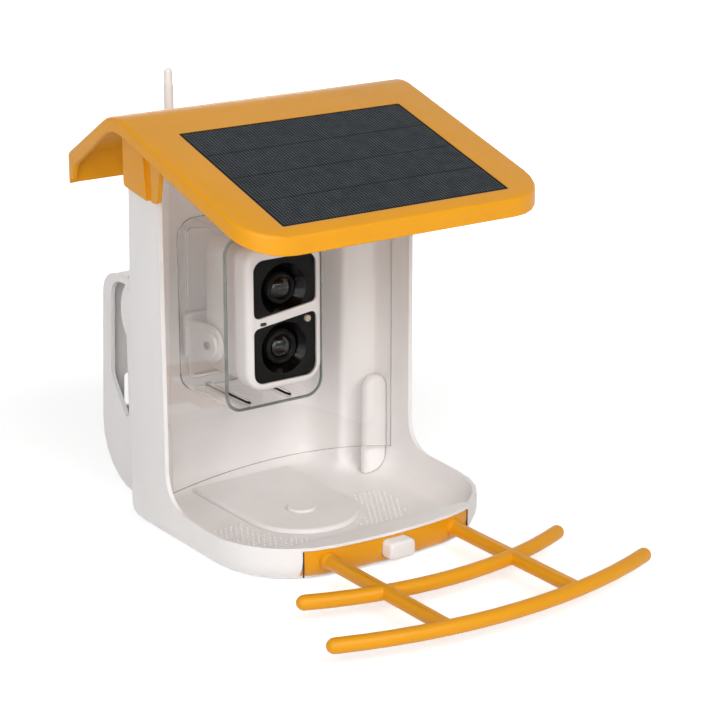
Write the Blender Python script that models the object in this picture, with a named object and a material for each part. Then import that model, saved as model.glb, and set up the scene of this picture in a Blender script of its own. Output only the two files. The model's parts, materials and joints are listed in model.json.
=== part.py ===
"""Bird feeder with a lifting solar roof, a clear hopper, a camera in its bay and a pull-out perch.

Lengths are in metres. Z is up, the front is towards -Y and the flat underside is at z = 0.
"""
import math

import bmesh
import bpy
from mathutils import Matrix, Vector

MM = 0.001

# Fits and rounding
GAP = 0.3 * MM
REACH = 60.0 * MM
TINY_RADIUS = 0.4 * MM
WELD = 0.002 * MM
ARC_STEPS = 6
FINE_STEPS = 4
ROUND_SIDES = 28
SMALL_SIDES = 16

# Housing
WALL = 3.2 * MM
FLOOR = 3.2 * MM
HALF_WIDTH = 105.8 * MM
FRONT_POINT_Y = -105.2 * MM
FRONT_CORNER_Y = -92.6 * MM
FRONT_BOW_SHARE = 0.4278
FRONT_CORNER_SHARE = 0.6238
FRONT_BOW_RADIUS = FRONT_BOW_SHARE * HALF_WIDTH * HALF_WIDTH / (FRONT_CORNER_Y - FRONT_POINT_Y)
FRONT_CORNER_RADIUS = FRONT_CORNER_SHARE * HALF_WIDTH
SHOULDER_Y = 73.0 * MM
SHOULDER_LEAN_SHARE = 0.035
SHOULDER_RADIUS = 2.0 * MM
TUB_SHARE = 0.7183
TUB_HALF_WIDTH = TUB_SHARE * HALF_WIDTH
TUB_BACK_Y = 112.0 * MM
TUB_CORNER_RADIUS = 20.0 * MM
BASE_FILLET = 17.0 * MM
RIM_TOP = 27.0 * MM
RIM_RISE = 1.6 * MM
WALL_TOP = 283.0 * MM
WALL_FRONT_Y = 23.2 * MM
FLARE_RADIUS = 24.0 * MM
SADDLE_Y = -45.0 * MM
SADDLE_RADIUS = 60.0 * MM
FRONT_BLOCK_WALL = 2.4 * MM
FRONT_BLOCK_SIDE = 4.3 * MM

# Clear hopper panel and camera bay
PANEL_Y = 44.8 * MM
PANEL_THICKNESS = 2.0 * MM
PANEL_GROOVE = 1.3 * MM
PANEL_TOP = 280.0 * MM
PANEL_EDGE_SIDE_Z = 24.0 * MM
PANEL_EDGE_RISE = 11.4 * MM
PANEL_EDGE_STEPS = 16
BAY_HALF_WIDTH = 39.8 * MM
BAY_BOTTOM = 78.5 * MM
BAY_TOP = 205.0 * MM
BAY_RADIUS = 12.0 * MM
BAY_WALL = 2.0 * MM
BAY_FLANGE_WIDTH = 6.8 * MM
BAY_FLANGE_THICKNESS = 2.5 * MM
RAIL_X = 17.4 * MM
RAIL_WIDTH = 3.0 * MM
RAIL_HEIGHT = 2.0 * MM
RAIL_FRONT_SETBACK = 4.0 * MM
RAIL_POINT = 4.5 * MM

# Seed platform, its cap and the seed guides
PLATFORM_TOP = 7.0 * MM
PLATFORM_HALF_WIDTH = 42.0 * MM
PLATFORM_EDGE = 2.4 * MM
CAP_RADIUS = 10.8 * MM
CAP_HEIGHT = 2.2 * MM
CAP_Y = 12.5 * MM
CAP_EDGE = 0.8 * MM
GUIDE_WIDTH = 19.0 * MM
GUIDE_DEPTH = 8.0 * MM
GUIDE_TOP = 80.0 * MM
GUIDE_EDGE = 4.0 * MM

# Roof
ROOF_OVERHANG = 14.2 * MM
ROOF_HALF_WIDTH = HALF_WIDTH + ROOF_OVERHANG
ROOF_FRONT_Y = -118.0 * MM
ROOF_REAR_Y = 124.2 * MM
ROOF_TOP_WALL = 4.5 * MM
ROOF_SIDE_WALL = 3.2 * MM
ROOF_FRONT_Z = 249.7 * MM
ROOF_FRONT_SLOPE_SHARE = 0.2975
ROOF_REAR_SLOPE_SHARE = 0.61
RIDGE_Y = 59.2 * MM
RIDGE_RADIUS = 33.0 * MM
RIDGE_STEPS = 8
ROOF_FRONT_CORNER = 32.0 * MM
ROOF_REAR_CORNER = 4.6 * MM
ROOF_EDGE_FILLET = 2.6 * MM
ROOF_REAR_FILLET = 8.0 * MM
SKIRT_DEPTH = 10.0 * MM
FRONT_SKIRT_DEPTH = 12.6 * MM
REAR_SKIRT_Z = 245.4 * MM
REAR_LIP = 3.2 * MM
REAR_LIP_RUN = 1.0 * MM
REAR_SKIRT_INSIDE = 8.6 * MM
REAR_SKIRT_FILLET = 6.0 * MM
REAR_SLOPE_DEPTH = 14.0 * MM

# Solar panel and junction box
SOLAR_MARGIN = 29.8 * MM
SOLAR_HALF_WIDTH = ROOF_HALF_WIDTH - SOLAR_MARGIN
SOLAR_LENGTH = 131.1 * MM
SOLAR_CENTRE_Y = -42.6 * MM
SOLAR_THICKNESS = 2.5 * MM
SOLAR_RADIUS = 1.5 * MM
SOLAR_SINK = 0.2 * MM
BOX_WIDTH = 62.0 * MM
BOX_LENGTH = 40.0 * MM
BOX_DEPTH = 11.0 * MM
BOX_RADIUS = 5.0 * MM
BOX_FILLET = 2.0 * MM

# Roof cheeks
CHEEK_THICKNESS = 3.4 * MM
CHEEK_FRONT_Y = 10.6 * MM
CHEEK_LOW_FRONT_Y = 18.0 * MM
CHEEK_REAR_SETBACK = 1.6 * MM
CHEEK_LOW_Z = 245.6 * MM
CHEEK_REAR_LOW_Z = 250.2 * MM
CHEEK_LOW_LENGTH = 15.0 * MM
CHEEK_RADIUS = 3.0 * MM
FLUTE_TOP_HALF = 6.4 * MM
FLUTE_FOOT_HALF = 3.3 * MM
FLUTE_DEPTH = 2.2 * MM
FLUTE_FRONT_INSET = 7.2 * MM

# Roof hinge
HINGE_Y = 113.0 * MM
HINGE_Z = 248.5 * MM
KNUCKLE_RADIUS = 4.8 * MM
HINGE_INSET = 23.0 * MM
HINGE_X = TUB_HALF_WIDTH - HINGE_INSET
ROOF_KNUCKLE_HALF = 4.6 * MM
HOUSING_KNUCKLE_LENGTH = 8.0 * MM
PIN_RADIUS = 2.0 * MM
PIN_HEAD_RADIUS = 3.4 * MM
PIN_HEAD = 1.5 * MM
PIN_CLEARANCE = 0.2 * MM
WEB_HALF = 3.6 * MM

# Camera
CAMERA_HALF_WIDTH = 32.0 * MM
CAMERA_BOTTOM = 93.5 * MM
CAMERA_TOP = 200.0 * MM
CAMERA_FRONT_Y = 30.8 * MM
CAMERA_SEAM_Y = 46.5 * MM
CAMERA_REAR_Y = 93.0 * MM
CAMERA_RADIUS = 15.0 * MM
CAMERA_FACE_FILLET = 5.0 * MM
CAMERA_REAR_FILLET = 6.0 * MM
CAMERA_STEP = 2.5 * MM
SHELL_WALL = 2.0 * MM
WINDOW_HALF_WIDTH = 26.3 * MM
WINDOW_BOTTOM = 99.6 * MM
WINDOW_TOP = 190.0 * MM
WINDOW_SPLIT_Z = 147.3 * MM
WINDOW_SPLIT_RISE = 6.8 * MM
WINDOW_BAND = 7.2 * MM
WINDOW_RADIUS = 8.0 * MM
WINDOW_SMALL_RADIUS = 4.5 * MM
UPPER_LENS_Z = 165.9 * MM
LOWER_LENS_Z = 122.6 * MM
UPPER_BARREL_RADIUS = 11.4 * MM
LOWER_BARREL_RADIUS = 12.5 * MM
RECESS_RADIUS = 19.5 * MM
RECESS_DEPTH = 7.0 * MM
OPTICS_INSET = 0.6 * MM
OPTICS_DEPTH = 12.0 * MM
BARREL_SETBACK = 2.4 * MM
BARREL_LENGTH = 16.0 * MM
BARREL_LIP = 2.2 * MM
LENS_SINK = 1.6 * MM
LENS_RADIUS_SHARE = 0.66
LENS_THICKNESS = 3.0 * MM
SENSOR_X = 19.2 * MM
SENSOR_Z = 141.8 * MM
SENSOR_RADIUS = 2.4 * MM
MIC_X = 18.5 * MM
MIC_Z = 143.6 * MM
MIC_HALF_LENGTH = 2.4 * MM
MIC_HALF_HEIGHT = 1.0 * MM
BOARD_HALF_WIDTH = 23.0 * MM
BOARD_BOTTOM = 103.0 * MM
BOARD_TOP = 190.0 * MM
BOARD_Y = 51.8 * MM
BOARD_THICKNESS = 1.6 * MM
CELL_RADIUS = 9.2 * MM
CELL_LENGTH = 65.0 * MM
CELL_X = 10.6 * MM
CELL_Y = 81.4 * MM
CELL_BOTTOM = 126.0 * MM
CELL_CAP_RADIUS = 3.0 * MM
CELL_CAP = 1.2 * MM
SPEAKER_RADIUS = 12.0 * MM
SPEAKER_THICKNESS = 5.0 * MM
SPEAKER_Z = 113.2 * MM
SPEAKER_REAR_GAP = 0.3 * MM
SPEAKER_MAGNET_RADIUS = 7.0 * MM
SPEAKER_MAGNET = 4.0 * MM

# Camera yoke and pivots
PIVOT_Y = 76.0 * MM
PIVOT_Z = 120.5 * MM
BOSS_RADIUS = 9.0 * MM
BOSS_END_X = 31.0 * MM
ARM_THICKNESS = 2.8 * MM
ARM_RADIUS = 13.4 * MM
ARM_HALF_HEIGHT = 11.0 * MM
YOKE_PLATE_HALF_WIDTH = 37.5 * MM
YOKE_PLATE_HALF_HEIGHT = 16.0 * MM
YOKE_PLATE_THICKNESS = 3.0 * MM
DISC_RADIUS = 10.0 * MM
DISC_THICKNESS = 2.3 * MM
SCREW_HEAD_RADIUS = 3.1 * MM
SCREW_HEAD = 1.4 * MM
SCREW_SHANK_RADIUS = 2.0 * MM
SCREW_LENGTH = 11.0 * MM
SCREW_CLEARANCE = 0.3 * MM

# Rear cap, seal and antenna
REAR_CAP_SHARE = 0.6842
REAR_CAP_HALF_WIDTH = REAR_CAP_SHARE * TUB_HALF_WIDTH
REAR_CAP_MARGIN = 9.0 * MM
REAR_CAP_RADIUS = 16.0 * MM
REAR_CAP_THICKNESS = 5.0 * MM
REAR_CAP_FILLET = 3.0 * MM
COLLAR_WALL = 2.0 * MM
SEAL_THICKNESS = 0.7 * MM
SEAL_WIDTH = 5.0 * MM
SEAL_INSET = 2.0 * MM
ANTENNA_X = -27.7 * MM
ANTENNA_Y = 139.0 * MM
ANTENNA_Z = 189.5 * MM
ANTENNA_TIP = 310.8 * MM
ANTENNA_RADIUS = 3.4 * MM
ANTENNA_TIP_RADIUS = 3.0 * MM
ANTENNA_TIP_LENGTH = 12.0 * MM
ANTENNA_BASE_RADIUS = 6.5 * MM
ANTENNA_BASE_LENGTH = 9.6 * MM
ELBOW_RADIUS = 5.6 * MM
ELBOW_LENGTH = 5.0 * MM
EAR_RADIUS = 4.8 * MM
EAR_THICKNESS = 2.4 * MM
TONGUE_THICKNESS = 3.2 * MM
TONGUE_RISE = 8.0 * MM
ANTENNA_PIN_RADIUS = 1.4 * MM

# Perch and its release button
INSERT_SHARE = 0.6493
INSERT_HALF_WIDTH = INSERT_SHARE * HALF_WIDTH
INSERT_BOTTOM = 5.5 * MM
INSERT_TOP = 24.4 * MM
INSERT_BACK_Y = -88.0 * MM
PERCH_Z = 16.5 * MM
ARM_INSET = 16.3 * MM
ARM_X = INSERT_HALF_WIDTH - ARM_INSET
ROD_RADIUS = 5.2 * MM
INNER_BAR_HALF = 104.5 * MM
INNER_BAR_Y = -168.9 * MM
INNER_BAR_BOW = 266.0 * MM
OUTER_BAR_HALF = 126.0 * MM
OUTER_BAR_Y = -235.3 * MM
OUTER_BAR_BOW = 365.0 * MM
BAR_STEPS = 14
ROD_SIDES = 16
BUTTON_HALF_WIDTH = 10.4 * MM
BUTTON_HALF_HEIGHT = 6.4 * MM
BUTTON_Z = 16.2 * MM
BUTTON_FRONT_Y = -112.0 * MM
BUTTON_RADIUS = 3.6 * MM
BUTTON_EDGE = 1.8 * MM
BUTTON_FLANGE = 3.0 * MM
BUTTON_FLANGE_FRONT_Y = -96.0 * MM
BUTTON_FLANGE_THICKNESS = 2.0 * MM
SPRING_RADIUS = 3.6 * MM
SPRING_WIRE = 0.45 * MM
SPRING_TURNS = 3
SPRING_TURN_STEPS = 12
SPRING_SIDES = 6

# Rear cradle
CRADLE_REAR_Y = 160.5 * MM
CRADLE_REAR_TOP_Y = 150.2 * MM
CRADLE_TOP = 167.4 * MM
CRADLE_FOOT_Z = 5.2 * MM
CRADLE_CURVE_RADIUS = 44.0 * MM
CRADLE_TOP_RADIUS = 18.0 * MM
CRADLE_WALL = 3.5 * MM
CRADLE_ARM_RADIUS = 24.0 * MM
CRADLE_ARM_Y = 97.5 * MM
CRADLE_INNER_RADIUS = 6.0 * MM
CRADLE_PLATE_Y = 121.5 * MM
KNOB_RADIUS = 22.0 * MM
KNOB_THICKNESS = 3.6 * MM
KNOB_EDGE = 1.2 * MM
SIDE_CUT_FRONT_SETBACK = 6.0 * MM
SIDE_CUT_FRONT_Z = 55.0 * MM
SIDE_CUT_REAR_Z = 88.0 * MM
SIDE_CUT_RIM = 11.6 * MM
SIDE_CUT_TOP_RIM = 4.4 * MM
SIDE_CUT_RADIUS = 14.0 * MM
SIDE_CUT_HUB_RADIUS = 28.0 * MM
STRAP_SLOT_INSET = 16.5 * MM
STRAP_SLOT_X = TUB_HALF_WIDTH - STRAP_SLOT_INSET
STRAP_SLOT_Z = 71.0 * MM
STRAP_SLOT_HALF_WIDTH = 4.5 * MM
STRAP_SLOT_HALF_HEIGHT = 13.0 * MM
WALL_HOLE_RADIUS = 3.0 * MM
WALL_HOLE_UPPER_Z = 150.0 * MM
WALL_HOLE_LOWER_Z = 55.0 * MM

COLOURS = {
    "orange": (0.78, 0.33, 0.035, 1.0),
    "white": (0.80, 0.79, 0.77, 1.0),
    "clear": (0.86, 0.88, 0.88, 0.3),
    "cells": (0.02, 0.025, 0.035, 1.0),
    "window": (0.01, 0.01, 0.012, 1.0),
    "black": (0.015, 0.015, 0.017, 1.0),
    "lens": (0.06, 0.07, 0.11, 1.0),
    "steel": (0.55, 0.55, 0.56, 1.0),
    "board": (0.02, 0.16, 0.07, 1.0),
    "cell_wrap": (0.08, 0.18, 0.42, 1.0),
    "amber": (0.62, 0.50, 0.34, 1.0),
    "rubber": (0.05, 0.05, 0.05, 1.0),
}
METALS = ("steel",)


def start():
    """Empties the file and makes the two collections."""
    for item in list(bpy.data.objects):
        bpy.data.objects.remove(item, do_unlink=True)
    made = []
    for name in ("bird_feeder", "cutters"):
        group = bpy.data.collections.get(name) or bpy.data.collections.new(name)
        if group.name not in bpy.context.scene.collection.children:
            bpy.context.scene.collection.children.link(group)
        made.append(group)
    return made


PARTS, CUTTERS = start()


def material(name, colour):
    """A Principled material of one colour for one piece."""
    made = bpy.data.materials.new(name)
    made.use_nodes = True
    shader = made.node_tree.nodes["Principled BSDF"]
    value = COLOURS[colour]
    shader.inputs["Base Color"].default_value = value
    shader.inputs["Alpha"].default_value = value[3]
    shader.inputs["Metallic"].default_value = float(colour in METALS)
    made.diffuse_color = value
    return made


def place(mesh, name, colour):
    """Links a mesh as a part, or as a cutter when it has no colour."""
    item = bpy.data.objects.new(name, mesh)
    if colour is None:
        CUTTERS.objects.link(item)
        item.hide_render = True
        item.display_type = "WIRE"
    else:
        PARTS.objects.link(item)
        mesh.materials.append(material(name, colour))
    return item


def loft(name, rings, colour=None):
    """A closed solid through rings with the same number of points, flat at both ends."""
    mesh = bpy.data.meshes.new(name)
    work = bmesh.new()
    loops = [[work.verts.new(point) for point in ring] for ring in rings]
    count = len(loops[0])
    for low, high in zip(loops, loops[1:]):
        for i in range(count):
            j = (i + 1) % count
            work.faces.new((low[i], low[j], high[j], high[i]))
    work.faces.new(list(reversed(loops[0])))
    work.faces.new(loops[-1])
    bmesh.ops.remove_doubles(work, verts=work.verts, dist=WELD)
    bmesh.ops.recalc_face_normals(work, faces=work.faces)
    for face in work.faces:
        face.smooth = True
    work.to_mesh(mesh)
    work.free()
    mesh.set_sharp_from_angle(angle=math.radians(38.0))
    return place(mesh, name, colour)


def rounded(corners, inset=0.0, steps=ARC_STEPS):
    """Points round a polygon of (u, v, radius) corners, moved inwards by inset."""
    count = len(corners)
    flat = [Vector(corner[:2]) for corner in corners]
    area = sum(flat[i].x * flat[(i + 1) % count].y - flat[(i + 1) % count].x * flat[i].y
               for i in range(count))
    turn_way = 1.0 if area > 0.0 else -1.0
    points = []
    for i, corner in enumerate(corners):
        here = flat[i]
        back = (here - flat[i - 1]).normalized()
        ahead = (flat[(i + 1) % count] - here).normalized()
        turn = math.atan2(back.x * ahead.y - back.y * ahead.x, back.dot(ahead))
        inward = Vector((-back.y, back.x)) * turn_way
        bend = math.tan(turn / 2.0)
        moved = here + inward * inset - back * inset * bend * turn_way
        convex = turn * turn_way > 0.0
        radius = corner[2] - inset if convex else corner[2] + inset
        if corner[2] <= 0.0:
            points.append((moved.x, moved.y))
            continue
        radius = max(radius, TINY_RADIUS)
        length = radius * abs(bend)
        begin = moved - back * length
        side = Vector((-back.y, back.x)) * (1.0 if turn > 0.0 else -1.0)
        centre = begin + side * radius
        for k in range(steps + 1):
            angle = turn * k / steps
            arm = Matrix.Rotation(angle, 2) @ (begin - centre)
            points.append((centre.x + arm.x, centre.y + arm.y))
    return points


def to_space(plane, u, v, w):
    """Maps plane coordinates and a height to space."""
    return {"XY": (u, v, w), "XZ": (u, w, v), "YZ": (w, u, v)}[plane]


def prism(name, corners, low, high, plane="XY", colour=None, edge_low=0.0, edge_high=0.0,
          steps=ARC_STEPS):
    """A rounded outline run from low to high, with optional rounded end edges."""
    levels = []
    if edge_low > 0.0:
        for k in range(FINE_STEPS + 1):
            angle = math.pi / 2.0 * k / FINE_STEPS
            levels.append((low + edge_low * (1.0 - math.sin(angle)),
                           edge_low * (1.0 - math.cos(angle))))
        levels.reverse()
    else:
        levels.append((low, 0.0))
    if edge_high > 0.0:
        for k in range(FINE_STEPS + 1):
            angle = math.pi / 2.0 * k / FINE_STEPS
            levels.append((high - edge_high * (1.0 - math.sin(angle)),
                           edge_high * (1.0 - math.cos(angle))))
    else:
        levels.append((high, 0.0))
    rings = []
    for height, inset in levels:
        ring = rounded(corners, inset, steps)
        rings.append([to_space(plane, u, v, height) for u, v in ring])
    return loft(name, rings, colour)


def box_corners(u0, v0, u1, v1, radius=0.0):
    """Four corners of a rectangle with one radius."""
    return [(u0, v0, radius), (u1, v0, radius), (u1, v1, radius), (u0, v1, radius)]


def turned(name, profile, centre, axis, colour=None, sides=ROUND_SIDES):
    """A turned solid: profile of (radius, height) pairs along an axis through the centre."""
    rings = []
    for radius, height in profile:
        ring = []
        for k in range(sides):
            angle = 2.0 * math.pi * k / sides
            a, b = radius * math.cos(angle), radius * math.sin(angle)
            spot = {"X": (height, a, b), "Y": (a, height, b), "Z": (a, b, height)}[axis]
            ring.append(tuple(c + s for c, s in zip(centre, spot)))
        rings.append(ring)
    return loft(name, rings, colour)


def bar(name, path, radii, sides=ROD_SIDES, colour=None):
    """A round rod along a path with one radius for each point."""
    points = [Vector(p) for p in path]
    rings = []
    last = len(points) - 1
    first_way = (points[1] - points[0]).normalized()
    side = first_way.orthogonal().normalized()
    for i, point in enumerate(points):
        way = (points[min(i + 1, last)] - points[max(i - 1, 0)]).normalized()
        side = (side - way * side.dot(way)).normalized()
        other = way.cross(side)
        rings.append([tuple(point + (side * math.cos(2.0 * math.pi * k / sides)
                                     + other * math.sin(2.0 * math.pi * k / sides)) * radii[i])
                      for k in range(sides)])
    return loft(name, rings, colour)


def boolean(item, tool, operation):
    """Adds one exact Boolean step."""
    step = item.modifiers.new(tool.name, "BOOLEAN")
    step.operation = operation
    step.solver = "EXACT"
    step.object = tool


def cut(item, *tools):
    """Takes the tools away from the item."""
    for tool in tools:
        boolean(item, tool, "DIFFERENCE")


def add(item, *tools):
    """Joins the tools to the item."""
    for tool in tools:
        boolean(item, tool, "UNION")


def keep(item, *tools):
    """Keeps only what lies in the tools too."""
    for tool in tools:
        boolean(item, tool, "INTERSECT")


def weld(item):
    """Closes the tiny edges that Boolean steps leave."""
    step = item.modifiers.new("weld", "WELD")
    step.merge_threshold = WELD


def mirrored(points):
    """The corners of a right half followed by their left copies, back to the start."""
    left = [(-u, v, r) for u, v, r in reversed(points) if u > 0.0]
    return points + left


def plan(height):
    """Corners of the housing's plan at a height."""
    shoulder = SHOULDER_Y - height * SHOULDER_LEAN_SHARE
    return mirrored([
        (0.0, FRONT_POINT_Y, FRONT_BOW_RADIUS),
        (HALF_WIDTH, FRONT_CORNER_Y, FRONT_CORNER_RADIUS),
        (HALF_WIDTH, shoulder, SHOULDER_RADIUS),
        (TUB_HALF_WIDTH, shoulder, SHOULDER_RADIUS),
        (TUB_HALF_WIDTH, TUB_BACK_Y, TUB_CORNER_RADIUS),
    ])


def plan_loft(name, bottom, fillet, top, inset, colour=None):
    """The housing's plan from bottom to top, with a filleted bottom edge."""
    levels = []
    for k in range(FINE_STEPS + 2):
        angle = math.pi / 2.0 * k / (FINE_STEPS + 1)
        levels.append((bottom + fillet * (1.0 - math.cos(angle)), fillet * (1.0 - math.sin(angle))))
    levels.append((top, 0.0))
    rings = []
    for height, more in levels:
        ring = rounded(plan(height), inset + more)
        rings.append([(u, v, height) for u, v in ring])
    return loft(name, rings, colour)


def flip(corners):
    """Corners mirrored from right to left."""
    return [(-u, v, r) for u, v, r in reversed(corners)]


def both_sides(low, high):
    """The pair of ranges (low to high) on the right and on the left."""
    return ((low, high), (-high, -low))


def roof_front_line(y):
    """Height of the front slope's line above a point."""
    return ROOF_FRONT_Z + (y - ROOF_FRONT_Y) * ROOF_FRONT_SLOPE_SHARE


def roof_line(y):
    """Height of the roof's top over a point, with its rounded ridge."""
    peak = roof_front_line(RIDGE_Y)
    rise = math.atan(ROOF_FRONT_SLOPE_SHARE)
    fall = math.atan(ROOF_REAR_SLOPE_SHARE)
    length = RIDGE_RADIUS * math.tan((rise + fall) / 2.0)
    front_y = RIDGE_Y - length * math.cos(rise)
    rear_y = RIDGE_Y + length * math.cos(fall)
    if y <= front_y:
        return roof_front_line(y)
    if y >= rear_y:
        return peak - (y - RIDGE_Y) * ROOF_REAR_SLOPE_SHARE
    centre_y = front_y + RIDGE_RADIUS * math.sin(rise)
    centre_z = roof_front_line(front_y) - RIDGE_RADIUS * math.cos(rise)
    return centre_z + math.sqrt(max(RIDGE_RADIUS ** 2 - (y - centre_y) ** 2, 0.0))


def edge_drop(distance, radius):
    """How far a rounded edge lies below its corner."""
    if distance >= radius:
        return 0.0
    return radius - math.sqrt(max(radius ** 2 - (radius - distance) ** 2, 0.0))


def skirt_line(y):
    """Height of the lower edge of the roof's skirt."""
    inside = ROOF_REAR_Y - REAR_SKIRT_INSIDE
    share = min(max((y - ROOF_FRONT_Y) / REACH, 0.0), 1.0)
    depth = FRONT_SKIRT_DEPTH + (SKIRT_DEPTH - FRONT_SKIRT_DEPTH) * share
    if y > RIDGE_Y:
        depth += (REAR_SLOPE_DEPTH - SKIRT_DEPTH) * (y - RIDGE_Y) / (ROOF_REAR_Y - RIDGE_Y)
    slope = roof_line(y) - depth
    if y > ROOF_REAR_Y - ROOF_REAR_CORNER - REAR_LIP_RUN / 2.0:
        return REAR_SKIRT_Z - REAR_LIP
    if y >= inside:
        return REAR_SKIRT_Z
    if y >= inside - REAR_SKIRT_FILLET:
        part = (inside - y) / REAR_SKIRT_FILLET
        return REAR_SKIRT_Z + (slope - REAR_SKIRT_Z) * math.sqrt(max(1.0 - (1.0 - part) ** 2, 0.0))
    return slope


def roof_solid(name, inset, top_inset, extra_down, colour=None):
    """The roof's outer solid, or the same solid drawn in by its walls."""
    front = ROOF_FRONT_Y + inset
    rear = ROOF_REAR_Y - inset
    half = ROOF_HALF_WIDTH - inset
    front_corner = ROOF_FRONT_CORNER - inset
    rear_corner = ROOF_REAR_CORNER - inset
    edge = max(ROOF_EDGE_FILLET - inset, TINY_RADIUS)
    rear_edge = max(ROOF_REAR_FILLET - inset, TINY_RADIUS)
    stations = []
    for k in range(ARC_STEPS + 1):
        angle = math.pi / 2.0 * k / ARC_STEPS
        stations.append((front + front_corner * (1.0 - math.cos(angle)),
                         half - front_corner * (1.0 - math.sin(angle))))
    spread = RIDGE_RADIUS / 2.0
    middle = [RIDGE_Y - spread + 2.0 * spread * k / RIDGE_STEPS for k in range(RIDGE_STEPS + 1)]
    inside = ROOF_REAR_Y - REAR_SKIRT_INSIDE
    middle += [inside - REAR_SKIRT_FILLET * k / FINE_STEPS for k in range(FINE_STEPS, -1, -1)]
    middle.append(rear - rear_corner - REAR_LIP_RUN)
    stations += [(y, half) for y in middle]
    for k in range(ARC_STEPS, -1, -1):
        angle = math.pi / 2.0 * k / ARC_STEPS
        stations.append((rear - rear_corner * (1.0 - math.cos(angle)),
                         half - rear_corner * (1.0 - math.sin(angle))))
    rings = []
    last_y = None
    for y, width in sorted(stations):
        if last_y is not None and y - last_y < TINY_RADIUS:
            continue
        last_y = y
        end = max(edge_drop(y - front, edge), edge_drop(rear - y, rear_edge))
        top = roof_line(y) - top_inset
        low = skirt_line(y) - extra_down
        right = []
        for k in range(FINE_STEPS + 1):
            angle = math.pi / 2.0 * k / FINE_STEPS
            away = edge * (1.0 - math.cos(angle))
            drop = max(end, edge * (1.0 - math.sin(angle)))
            right.append((width - away, top - drop))
        left = [(-x, z) for x, z in reversed(right)]
        ring = [(width, low)] + right + left + [(-width, low)]
        rings.append([(x, y, z) for x, z in ring])
    return loft(name, rings, colour)


def slope_block(name, half_width, length, top_gap, thickness, radius, colour=None, edge=0.0):
    """A rounded slab that lies in the front slope, its top a gap below the surface."""
    corners = box_corners(-half_width, -length / 2.0, half_width, length / 2.0, radius)
    item = prism(name, corners, -top_gap - thickness, -top_gap, "XY", colour, edge_low=edge)
    item.location = (0.0, SOLAR_CENTRE_Y, roof_front_line(SOLAR_CENTRE_Y))
    item.rotation_euler = (math.atan(ROOF_FRONT_SLOPE_SHARE), 0.0, 0.0)
    return item


def make_housing():
    """Side walls, shoulders, tub, floor and tray in one piece."""
    housing = plan_loft("housing", 0.0, BASE_FILLET, WALL_TOP, 0.0, "white")
    hollow = plan_loft("housing_hollow", FLOOR, BASE_FILLET - WALL, WALL_TOP + REACH, WALL)
    block_side = INSERT_HALF_WIDTH + FRONT_BLOCK_SIDE
    block_back = INSERT_BACK_Y + GAP + FRONT_BLOCK_WALL
    block = prism("front_block", box_corners(-block_side, FRONT_POINT_Y - REACH, block_side, block_back,
                                             FRONT_BLOCK_SIDE), 0.0, RIM_TOP + REACH)
    cut(hollow, block)
    cut(housing, hollow)

    high = WALL_TOP + REACH
    far = FRONT_POINT_Y - REACH
    rise = RIM_TOP + RIM_RISE
    opening = [(far, RIM_TOP, 0.0), (SADDLE_Y, RIM_TOP, SADDLE_RADIUS),
               (WALL_FRONT_Y - FLARE_RADIUS, rise, 0.0), (WALL_FRONT_Y, rise, FLARE_RADIUS),
               (WALL_FRONT_Y, high, 0.0), (far, high, 0.0)]
    wide = HALF_WIDTH + REACH
    cut(housing, prism("front_opening", opening, -wide, wide, "YZ"))

    back_top = HINGE_Z
    slope_start = SHOULDER_Y
    crest = [(slope_start, high, 0.0), (slope_start, WALL_TOP, 0.0), (TUB_BACK_Y - WALL, back_top, 0.0),
             (TUB_BACK_Y + REACH, back_top, 0.0), (TUB_BACK_Y + REACH, high, 0.0)]
    cut(housing, prism("crest_cut", crest, -wide, wide, "YZ"))

    groove_half = HALF_WIDTH - WALL + PANEL_GROOVE
    cut(housing, prism("panel_groove", box_corners(-groove_half, PANEL_Y - GAP, groove_half,
                                                   PANEL_Y + PANEL_THICKNESS + GAP),
                       PANEL_EDGE_SIDE_Z - GAP, high))
    outer = BAY_WALL + GAP
    cut(housing, prism("bay_opening", box_corners(-BAY_HALF_WIDTH - outer, BAY_BOTTOM - outer,
                                                  BAY_HALF_WIDTH + outer, BAY_TOP + outer,
                                                  BAY_RADIUS + outer),
                       TUB_BACK_Y - WALL - GAP, TUB_BACK_Y + GAP, "XZ"))
    pocket = prism("perch_pocket", box_corners(-INSERT_HALF_WIDTH - GAP, FRONT_POINT_Y - REACH,
                                               INSERT_HALF_WIDTH + GAP, INSERT_BACK_Y + GAP),
                   INSERT_BOTTOM - GAP, INSERT_TOP + GAP)
    cut(housing, pocket)

    inner_end = ROOF_KNUCKLE_HALF + GAP
    outer_end = inner_end + HOUSING_KNUCKLE_LENGTH
    for side in (-1.0, 1.0):
        middle = HINGE_X * side
        tag = "right" if side > 0.0 else "left"
        for low, high_x in both_sides(inner_end, outer_end):
            add(housing, turned("housing_knuckle", [(KNUCKLE_RADIUS, low), (KNUCKLE_RADIUS, high_x)],
                                (middle, HINGE_Y, HINGE_Z), "X", sides=SMALL_SIDES))
        head_end = outer_end + PIN_HEAD + GAP * 2.0
        cut(housing, turned("head_gap_" + tag, [(PIN_HEAD_RADIUS + GAP, outer_end),
                                                (PIN_HEAD_RADIUS + GAP, head_end)],
                            (middle, HINGE_Y, HINGE_Z), "X", sides=SMALL_SIDES))
        reach = PIN_CLEARANCE + outer_end
        cut(housing, turned("knuckle_gap_" + tag, [(KNUCKLE_RADIUS + GAP, -inner_end),
                                                   (KNUCKLE_RADIUS + GAP, inner_end)],
                            (middle, HINGE_Y, HINGE_Z), "X", sides=SMALL_SIDES))
        cut(housing, turned("pin_hole_" + tag, [(PIN_RADIUS + PIN_CLEARANCE, -reach),
                                                (PIN_RADIUS + PIN_CLEARANCE, reach)],
                            (middle, HINGE_Y, HINGE_Z), "X", sides=SMALL_SIDES))
    weld(housing)
    return housing


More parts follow.
